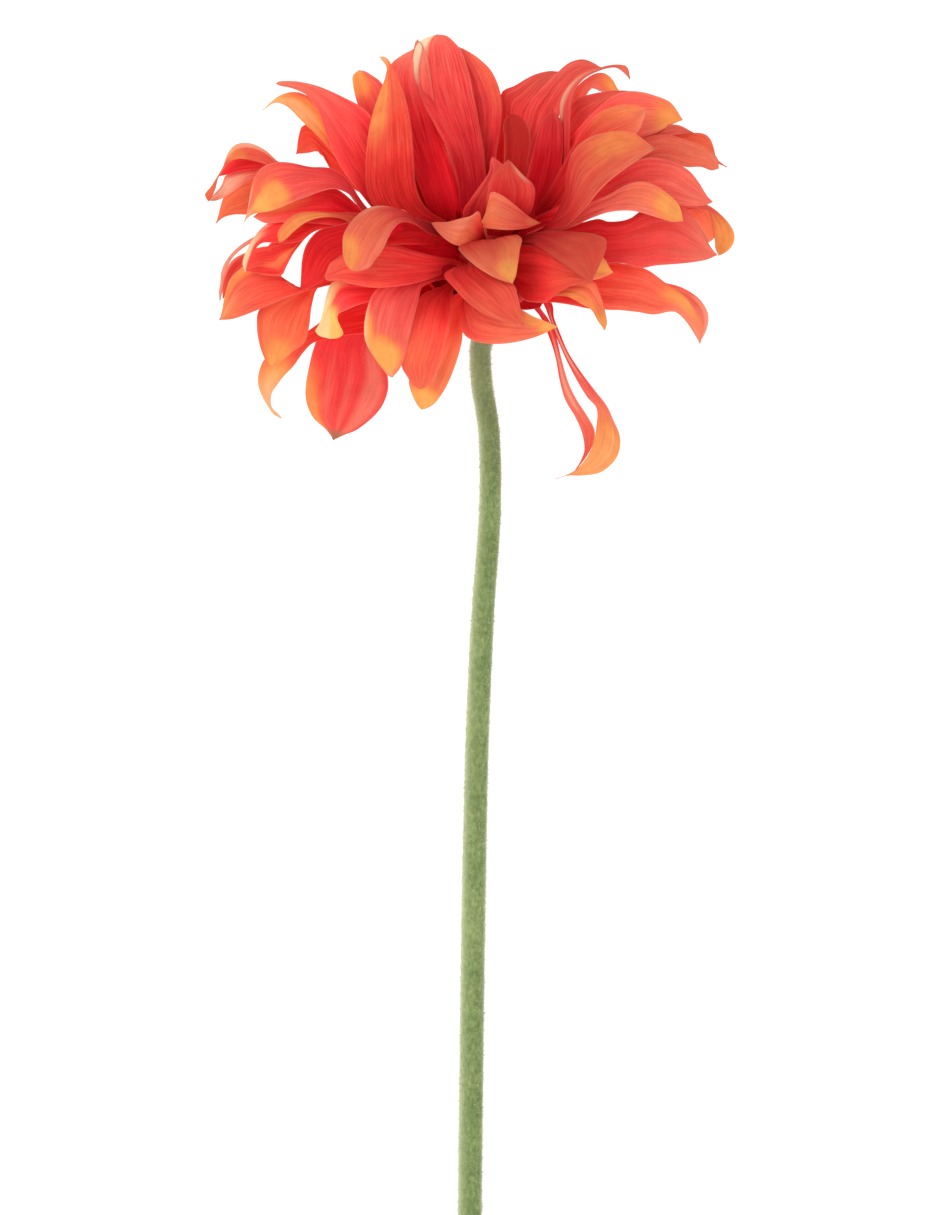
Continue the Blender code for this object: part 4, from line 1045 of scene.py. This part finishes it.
RIGHT_PETALS = (
    petal(1, (21.4, -5.1),
          left=((5, 3), (9, 4.2), (13, 4.8), (17.5, 4.7), (21.5, 4.3), (24, 3.3), (24.2, 1.5),
                (23.5, -0.7), (22.6, -2.8)),
          right=((5, 1), (9, 2.5), (13.5, -0.2), (17, -2.6), (19.8, -4.4)),
          heights=(13, 19, 21.5, 21.5, 19.5), face=LEVEL, cup=0.05, tone=(0.0, 0.66, 0.8),
          shade=(0.46, 0.7), warm=0.42, streaks=0.2),
    petal(1, (21.5, -5.1),
          left=((5, 1.5), (10, 2.2), (14, 0.2), (17.5, -2.2), (20, -4)),
          right=((4.5, -4), (6.3, -7), (8, -9.2), (12.3, -9.3), (14.3, -7.8), (17, -6.3), (19.5, -5.5)),
          heights=(13, 17.5, 19, 18.5, 17), face=LEVEL, cup=0.05, tone=(0.08, 0.58, 0.82),
          shade=(1.12, 0.85), warm=0.45, streaks=0.3),
    petal(1, (25.6, -3.5),
          left=((9, 2), (16, 1.5), (21, 0.8), (23.9, -0.8), (24.7, -2.2)),
          right=((9, -2), (15, -3.5), (19, -4.6), (21.6, -5), (23.5, -4.5)),
          heights=(10, 15, 15.5, 14), tone=(0.5, 0.9, 1.1), shade=(1.1, 1.1),
          gold=(1.0, 0.0, 0.4, 0.96, 0.9)),
    petal(2, (23.9, -15),
          left=((6, -3.5), (12, -5), (17, -5.5), (21.4, -5.2), (22.9, -7.6), (23.9, -10.8),
                (24.4, -13.6)),
          right=((5, -6.5), (10, -8.8), (13.5, -8.3), (16.5, -8.3), (19.3, -9.8), (21.3, -11),
                 (22.6, -13.2)),
          heights=(10, 14, 15.5, 16, 15, 12), face=LEVEL, tone=(0.4, 0.85, 1.15), shade=(1.1, 0.84),
          warm=0.5, gold=((0.98, 0.0, 0.14, 2.0, 0.85), (0.72, -0.7, 0.25, 0.7, 0.6))),
    petal(2, (22, -10.9),
          left=((7, -5), (13, -7), (18, -8), (21, -10)),
          right=((6, -8), (10, -9.5), (13.5, -9.5), (17, -10), (20, -10.6)),
          heights=(8, 11, 12, 11), tone=(0.35, 0.58, 0.7), shade=(1.35, 1.3)),
    petal(2, (43, -17.7),
          left=((8, -1), (16, -1.5), (24, -1.2), (28, -1.9), (32.5, -3), (36.5, -5.8), (39.5, -8),
                (42, -11.2), (43.6, -14.3)),
          right=((8, -5), (16, -8.5), (23, -10.8), (27, -11), (30.5, -11.4), (33.5, -11.9),
                 (36.5, -11.3), (38.3, -11.5), (40.3, -13.4), (42, -16)),
          heights=(2, 5, 6, 5.5, 3, 0, -3), face=(0, 0.2, 0.98), folds=1.3, tone=(0.45, 0.88, 1.05),
          shade=(1.25, 0.97), warm=0.3, gold=(0.8, 0.5, 0.13, 0.8, 0.7),
          pale=(0.9, -0.3, 0.14, 1.0, 0.1)),
    petal(3, (43, -17.5),
          left=((8, 0), (20, -2.5), (30, -4.5), (37, -5.8), (40, -6.8), (42.7, -8.6), (44.3, -10.9),
                (44.7, -12.8), (44.2, -15.2)),
          right=((8, -3), (20, -6), (30, -7.5), (37, -9), (40, -11), (42, -14)),
          heights=(-3, 0, 1, 0, -2.5, -5, -7), tone=(0.5, 0.85, 1.2), shade=(1.05, 1.03),
          pale=(0.95, 0.8, 0.15, 0.36, 0.3)),
    petal(1, (46.4, 0),
          left=((8, 3), (14, 4.8), (19, 6.2), (22.6, 7.2), (24.6, 6.7), (27.4, 6.8), (29.4, 7.4),
                (31, 8.5), (35, 10), (39, 10), (41.5, 7.7), (43.3, 5), (44.6, 2.2)),
          right=((8, 0), (15, -2), (22, -2), (26.5, -1.7), (31, -2.6), (34, -2.1), (38, -1.9),
                 (41.5, -1.5), (44.5, -0.9)),
          heights=(8, 12, 12.5, 11.5, 9, 6), tone=(0.18, 0.6, 1.02), shade=(1.0, 0.94), streaks=0.35,
          brown=(0.96, 1.0, 0.1, 0.22, 0.6)),
    petal(1, (39.6, 6.8),
          left=((8, 4), (13, 6), (18, 8), (21.5, 10.6), (25, 12.2), (28, 13.9), (31, 14.6), (34, 13.9),
                (36.8, 12), (38.8, 9.8)),
          right=((8, 2.5), (13, 4.2), (18, 5.8), (22, 7.6), (25, 8.6), (28.5, 8.8), (32, 8.2),
                 (35, 7.3), (37.5, 6.6)),
          heights=(11, 16, 18.5, 18.5, 17, 15.5, 13.5), tone=(0.5, 0.88, 1.1), shade=(1.15, 0.92),
          gold=((0.93, 0.3, 0.14, 1.3, 0.85), (0.75, 0.3, 0.1, 1.0, 0.25))),
    petal(1, (45.5, 10.6),
          left=((8, 6), (14, 9.5), (20, 13.5), (25, 16), (29, 18.3), (33, 19.4), (37, 19), (40.3, 17.2),
                (42.6, 14.5), (44.3, 12)),
          right=((8, 4), (15, 5.5), (22, 8), (29, 9.8), (35, 10.5), (39.5, 9.8), (43.7, 9.9)),
          heights=(7, 12, 13.5, 12.5, 10, 7), folds=1.3, tone=(0.15, 0.66, 0.98), shade=(1.2, 0.96)),
    petal(2, (46.8, -0.1),
          left=((10, 2), (22, 4), (31, 7), (39, 11.4), (43.8, 10.3), (46.3, 8.9), (48.4, 6.9),
                (49.7, 4.8), (49.9, 3), (49.2, 1.5), (48, 0.4)),
          right=((10, 0), (22, 2), (33, 5.5), (40, 8.5), (43.6, 9.3), (45, 7.3), (45.8, 4.9), (46, 2.8),
                 (46.1, 1.2)),
          heights=(1, 3, 5, 5.5, 4.5, 2.5, 1, 0), tone=(0.4, 0.7, 1.15), shade=(1.1, 0.95),
          gold=(0.94, 0.2, 0.13, 1.8, 0.85)),
    petal(3, (44.7, 2.5),
          left=((10, 1), (22, 3.5), (32, 7.5), (39, 10.5), (43.5, 9.9), (45, 7.6), (45.8, 5),
                (45.9, 3.4)),
          right=((10, -1), (22, 1.5), (32, 5), (38, 8), (41.5, 7), (43.3, 4.8)),
          heights=(-1, 1, 3, 4, 2, 0), folds=2.0, tone=(0.4, 0.72, 1.0), shade=(1.15, 1.15), warm=0.5),
    petal(1, (32.3, 29.2),
          left=((9.5, 8), (14, 15), (17.5, 21.5), (20.5, 26.3), (23.5, 28.8), (27, 30), (30, 29.8)),
          right=((13, 7), (18, 13), (22.5, 19), (27, 22.5), (30.3, 24.2), (31.6, 26.8)),
          heights=(5, 9.5, 12, 12, 10.5, 8), tone=(0.0, 0.45, 1.15), shade=(0.95, 0.9), warm=0.4,
          gold=(0.88, 0.7, 0.16, 0.7, 0.4)),
    petal(2, (29.6, 32.7),
          left=((7, 10), (11, 18), (14.5, 25.5), (17, 30.3), (20, 31.8), (24, 32.7), (27.5, 32.9)),
          right=((10, 9), (15.5, 17), (19.5, 23.5), (23.5, 28.5), (26.5, 31)),
          heights=(-4, -3, -2, -2, -4), tone=(0.2, 0.56, 0.92), shade=(1.4, 0.86)),
    petal(0, (34.1, 21.2),
          left=((9, 4), (12.8, 6.3), (15.2, 10), (16.5, 13), (16.7, 17), (17.3, 20), (19.5, 22.4),
                (23, 24.1), (26.5, 24.8), (29.5, 24.3), (32, 22.7)),
          right=((12.5, 4.6), (16.3, 5.6), (19.5, 8.6), (22, 11.5), (25, 14.8), (28, 17.2), (31, 19.3)),
          heights=(12, 18, 21, 22.5, 21.5, 19, 15.5), tone=(0.05, 0.74, 0.98), shade=(0.62, 0.86),
          warm=0.4, streaks=0.8, gold=(0.8, 0.4, 0.15, 0.8, 0.5), brown=(0.995, 0.0, 0.014, 2.0, 0.7)),
    petal(1, (39.5, 27),
          left=((9, 10), (14, 18), (19, 25.5), (24, 30.5), (28, 32.5), (31.5, 32.6), (34.5, 31.7),
                (36.8, 30.6), (38.3, 28.9)),
          right=((12, 9), (19, 16), (26, 21.5), (31, 23.2), (34, 24.3), (37, 25.9)),
          heights=(0, 4, 5, 5, 4, 1), tone=(0.22, 0.66, 1.15), shade=(1.4, 0.98),
          gold=(0.96, -0.2, 0.12, 1.4, 0.75)),
    petal(2, (41.6, 24.5),
          left=((11, 10), (20, 18), (28, 23.5), (33, 25), (36.5, 26), (39, 25.9)),
          right=((12, 7), (22, 15), (30, 20.5), (36, 23.5), (39.5, 24.2)),
          heights=(0, 3, 4, 4, 3), tone=(0.4, 0.72, 0.92), shade=(0.8, 0.78), streaks=0.9),
    petal(1, (46.7, 17.3),
          left=((11, 8), (20, 15.5), (27, 21), (31.5, 23.3), (36, 24), (39.5, 23.2), (42.5, 22.2),
                (45, 20.8), (46.5, 19.2)),
          right=((12, 6), (21, 12), (29, 16.5), (35, 19), (40, 17.6), (43, 17.6), (45.2, 16.9)),
          heights=(5, 9, 9.5, 9, 7, 4), tone=(0.4, 0.72, 1.0), shade=(0.52, 0.84), warm=0.3),
    petal(2, (48.4, 17.6),
          left=((11, 9), (22, 17), (31, 22.5), (37, 24.2), (41.2, 24.4), (43.6, 24.3), (45, 23.3),
                (45.8, 21.3), (46.2, 19.4), (47.2, 18.5)),
          right=((12, 7), (23, 14.5), (32, 19.5), (38, 21.8), (42, 21.6), (44.8, 20), (46, 18.8),
                 (47, 18.1)),
          heights=(0, 4, 5, 4, 3, 2, 1), tone=(0.4, 0.72, 0.92), shade=(0.7, 0.9), warm=0.5),
)
dress_petals("right_petals", RIGHT_PETALS, 81)

# The torn petal
# One outer petal is torn lengthwise. Both strips grow from the core, hang below the bloom as
# narrow ribbons, and meet again at an orange tip.

TORN_PETAL = (
    petal(3, (18, -43.2),
          left=((10.5, -9.5), (12.8, -13), (14.3, -16.5), (15.3, -20.8), (16.6, -25.3), (18.3, -28.8),
                (20.2, -31.8), (21.9, -35), (21.6, -37.8), (20.3, -40.3), (19, -42)),
          right=((9, -9.5), (11.2, -12.5), (12.6, -15.8), (14.1, -20.3), (14.9, -24.8), (16, -28.8),
                 (18, -32.2), (19.4, -35.5), (19.9, -38.8), (19.2, -41)),
          heights=(-8, -14, -18, -25, -31, -35, -36.8, -37.4), face=LEVEL, claw=2.0, folds=0.7,
          tone=(0.35, 1.0, 0.9), shade=(1.08, 1.05), pale=(0.48, 0.0, 0.2, 0.48, 0.35)),
    petal(3, (14.1, -44.8),
          left=((13.3, -9.5), (13.8, -12.5), (15.1, -15.8), (16.7, -19.5), (19.2, -23.4), (22, -26.9),
                (24.3, -29.9), (25.7, -33), (27, -36), (27, -38.8), (25.8, -41.3), (23, -43.5),
                (19.5, -44.1), (16.5, -44.1)),
          right=((11.5, -9.5), (12.8, -12.5), (14.3, -16.3), (16.3, -20.9), (18.3, -24.6),
                 (20.5, -28.2), (22.4, -30.6), (22.4, -34), (21.8, -37.5), (20.3, -40.6), (18.3, -42.8),
                 (16.3, -44)),
          heights=(-8, -14, -19, -22, -25.5, -31, -35, -37, -37.6), face=LEVEL, claw=2.0, folds=0.7,
          tone=(0.35, 1.0, 1.15), shade=(1.12, 1.0), gold=(0.86, 0.1, 0.27, 2.0, 0.8),
          pale=((0.3, 0.0, 0.14, 0.5, 0.5), (0.78, 0.4, 0.16, 0.1, 0.35), (0.9, 0.0, 0.2, 1.6, 0.15))),
)
dress_petals("torn_petal", TORN_PETAL, 91)

# The petals under the bloom
# Two whorls of plain petals, rooted in the core like the rest, and a ring of short petal bases.
# They only show from behind and follow a rule, and the lowest tips touch the surface.

CAD_BLADE = 0.8
TABLE_CLEARANCE = 0.1
UNDER_WHORLS = ((3, range(228, 319, 18), 43.0, 5.0), (2, range(237, 310, 18), 39.0, 1.0))
UNDER_WIDTH = 9.5
UNDER_LINE = ((0.42, -1.0), (0.72, 0.0))
BASES = 22
BASE_WIDTH = 4.6
BASE_LINE = ((10.6, -5.5), (12.2, -3.0), (13.4, -0.5))


def ruled_petal(ring, width, mid_line, **looks):
    """A petal that follows a rule: its mid line and its greatest width, with an oval end."""
    return dict(petal(ring, None, None, None, None, **looks), width=width, mid_line=mid_line)


def ruled_sheet(one):
    """Middle surface of a petal round its mid line, in the form that petal_sheet gives."""
    first = np.array(one["mid_line"][0], float)
    out = unit(first - AXIS * (first @ AXIS))
    base = AXIS * RING_HEIGHT[one["ring"]] + out * RING_RADIUS[one["ring"]]
    line = np.array([base, *one["mid_line"]])
    steps = max(6, round(np.linalg.norm(np.diff(line, axis=0), axis=1).sum() / PETAL_STEP))
    centre, length = smooth_line(line, steps)
    t = np.linspace(0.0, 1.0, steps + 1)
    v = np.linspace(-1.0, 1.0, PETAL_COLUMNS)
    along = unit(np.gradient(centre, axis=0))
    side = np.cross(AXIS, out)
    across = unit(side - (along @ side)[:, None] * along)
    close = (1.0 - np.clip((t - 0.6) / 0.4, 0.0, 1.0) ** 2.0) ** 0.7
    half = np.maximum((0.45 + 0.55 * eased(t / 0.6)) * close * one["width"] / 2.0, TIP_HALF_WIDTH)
    return centre[:, None] + across[:, None] * (half[:, None] * v)[..., None], t, v, half, length


def outward(turn):
    """The direction away from the flower's axis at an angle from the right."""
    return math.cos(turn) * RIGHT + math.sin(turn) * FRONT


def list_under_petals():
    """The whorls under the bloom, kept just off the table, and the petal bases round the core.

    A whorl gives its place in the core, its angles, its reach, and its tips' drop along the axis.
    """
    draw = np.random.default_rng(7)
    ground = CAD_BLADE / 2 - HEAD[2] + TABLE_CLEARANCE
    gold_tip = (1.0, 0.0, 0.25, 0.6, 0.75)
    listed = []
    for ring, angles, reach, drop in UNDER_WHORLS:
        for angle in angles:
            out = outward(math.radians(angle))
            long = reach + draw.uniform(-1.0, 1.0)
            line = [out * long * share + AXIS * rise for share, rise in (*UNDER_LINE, (1.0, -drop))]
            lowest = min(point[2] for point in line)
            if lowest < ground:
                line[-1] = line[-1] + AXIS * (ground - lowest) / AXIS[2]
            width = UNDER_WIDTH + draw.uniform(-0.5, 0.5)
            looks = dict(tone=(0.3, 0.6, 0.8), gold=gold_tip, cup=0.2)
            listed.append(ruled_petal(ring, width, line, **looks))
    (low_out, low), *upper = BASE_LINE
    for k in range(BASES):
        out = outward(2.0 * math.pi * k / BASES)
        rise = draw.uniform(-1.0, 1.0)
        line = [out * low_out + AXIS * low]
        line += [out * radius + AXIS * (height + rise) for radius, height in upper]
        listed.append(ruled_petal(3, BASE_WIDTH, line, tone=(0.0, 0.15, 0.3), cup=0.2))
    return tuple(listed)


dress_petals("under_petals", list_under_petals(), 101)

# The core
# The small solid heart that every petal grows from, and the crimson inner florets on it.
# They only show as a dark red depth between petals.

CORE = ((8.4, -8.5), (9.8, -6.5), (10.0, -2.0), (9.0, 2.5), (6.4, 6.2))
CORE_TOP = 8.0
CORE_SIDES = 48
FLORETS = 60
FLORET_REACH = 8.5


def core_material():
    """Dark crimson with a fine grain."""
    material, shader, add, join = new_material("floret crimson")
    place = add("ShaderNodeTexCoord")
    grain = add("ShaderNodeTexNoise", Scale=500.0, Detail=4.0)
    join(place.outputs["Object"], grain.inputs["Vector"])
    shades = ramp(add, ((0.3, (0.32, 0.004, 0.008)), (0.7, (0.58, 0.012, 0.016))))
    join(grain.outputs["Fac"], shades.inputs["Fac"])
    join(shades.outputs["Color"], shader.inputs["Base Color"])
    shader.inputs["Roughness"].default_value = 0.6
    return material


def list_florets():
    """Short inner florets on the core, spread by the golden angle."""
    draw = np.random.default_rng(3)
    listed = []
    for k in range(FLORETS):
        turn = k * math.pi * (3.0 - math.sqrt(5.0))
        radius = FLORET_REACH * math.sqrt((k + 0.5) / FLORETS)
        out = outward(turn)
        root = out * radius + AXIS * (6.0 - 0.05 * radius**2)
        tip = root + out * draw.uniform(1.0, 2.5) + AXIS * draw.uniform(3.0, 5.0)
        line = [root, 0.6 * root + 0.4 * tip, tip]
        looks = dict(tone=(0.0, 0.1, 0.2), streaks=0.1, rim=0.0)
        listed.append(ruled_petal(0, draw.uniform(1.6, 2.2), line, **looks))
    return tuple(listed)


core = turned_body("core", CORE, CORE[0][1], CORE_TOP, CORE_SIDES)
core.data.materials.append(core_material())
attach(core, "root")

dress_petals("florets", list_florets(), 111)

# The surface, the light and the camera
# A plain white table, a soft white room, and three large soft lights: the main one from the left
# above, and weaker ones from the right and from the stem's side. The camera looks straight down.

TABLE_REACH = 4.0
TABLE_DROP = 0.0002
LIGHT_SIZE = 0.9
LIGHTS = (
    ("key", (-0.9, 0.45, 1.2), 10.0),
    ("right fill", (1.0, -0.2, 1.0), 5.0),
    ("front fill", (0.1, -1.2, 1.0), 4.0),
)
VIEW_HEIGHT = 243.0


def build_floor():
    """A white table that shows almost no shadow, because it shines a little by itself."""
    far = TABLE_REACH
    corners = [(-far, -far, 0), (far, -far, 0), (far, far, 0), (-far, far, 0)]
    mesh = bpy.data.meshes.new("floor")
    mesh.from_pydata(corners, [], [(0, 1, 2, 3)])
    floor = bpy.data.objects.new("floor", mesh)
    bpy.context.scene.collection.objects.link(floor)
    floor.location.z = -TABLE_DROP
    material, shader, add, join = new_material("white table")
    shader.inputs["Base Color"].default_value = (0.35, 0.35, 0.35, 1.0)
    shader.inputs["Roughness"].default_value = 1.0
    shader.inputs["Specular IOR Level"].default_value = 0.0
    shader.inputs["Emission Color"].default_value = (1.0, 1.0, 1.0, 1.0)
    shader.inputs["Emission Strength"].default_value = 0.85
    floor.data.materials.append(material)


def build_lights():
    """The white room and the lights, each with its place in metres from the bloom and its power."""
    world = bpy.data.worlds.new("white room")
    world.use_nodes = True
    world.node_tree.nodes["Background"].inputs["Color"].default_value = (1.0, 1.0, 1.0, 1.0)
    world.node_tree.nodes["Background"].inputs["Strength"].default_value = 0.7
    bpy.context.scene.world = world
    for name, place, power in LIGHTS:
        light = bpy.data.lights.new(name, "AREA")
        light.size = LIGHT_SIZE
        light.energy = power
        lamp = bpy.data.objects.new(name, light)
        bpy.context.scene.collection.objects.link(lamp)
        lamp.location = np.array(place) + HEAD * MM
        aim = bpy.data.objects.new(name + " aim", None)
        aim.location = HEAD * MM
        bpy.context.scene.collection.objects.link(aim)
        follow = lamp.constraints.new("TRACK_TO")
        follow.target = aim
        follow.track_axis = "TRACK_NEGATIVE_Z"
        follow.up_axis = "UP_Y"


def build_camera():
    """A far camera straight above, so that the flower is seen without much perspective."""
    data = bpy.data.cameras.new("camera")
    data.sensor_fit = "VERTICAL"
    data.sensor_height = 36.0
    data.lens = data.sensor_height * CAMERA_DISTANCE / VIEW_HEIGHT
    camera = bpy.data.objects.new("camera", data)
    bpy.context.scene.collection.objects.link(camera)
    camera.location = (
        (HEAD[0] + VIEW_CENTRE[0]) * MM,
        (HEAD[1] + VIEW_CENTRE[1]) * MM,
        (HEAD[2] + CAMERA_DISTANCE) * MM,
    )
    bpy.context.scene.camera = camera


build_floor()
build_lights()
build_camera()
bpy.context.scene.view_settings.view_transform = "Standard"

bpy.context.view_layer.update()
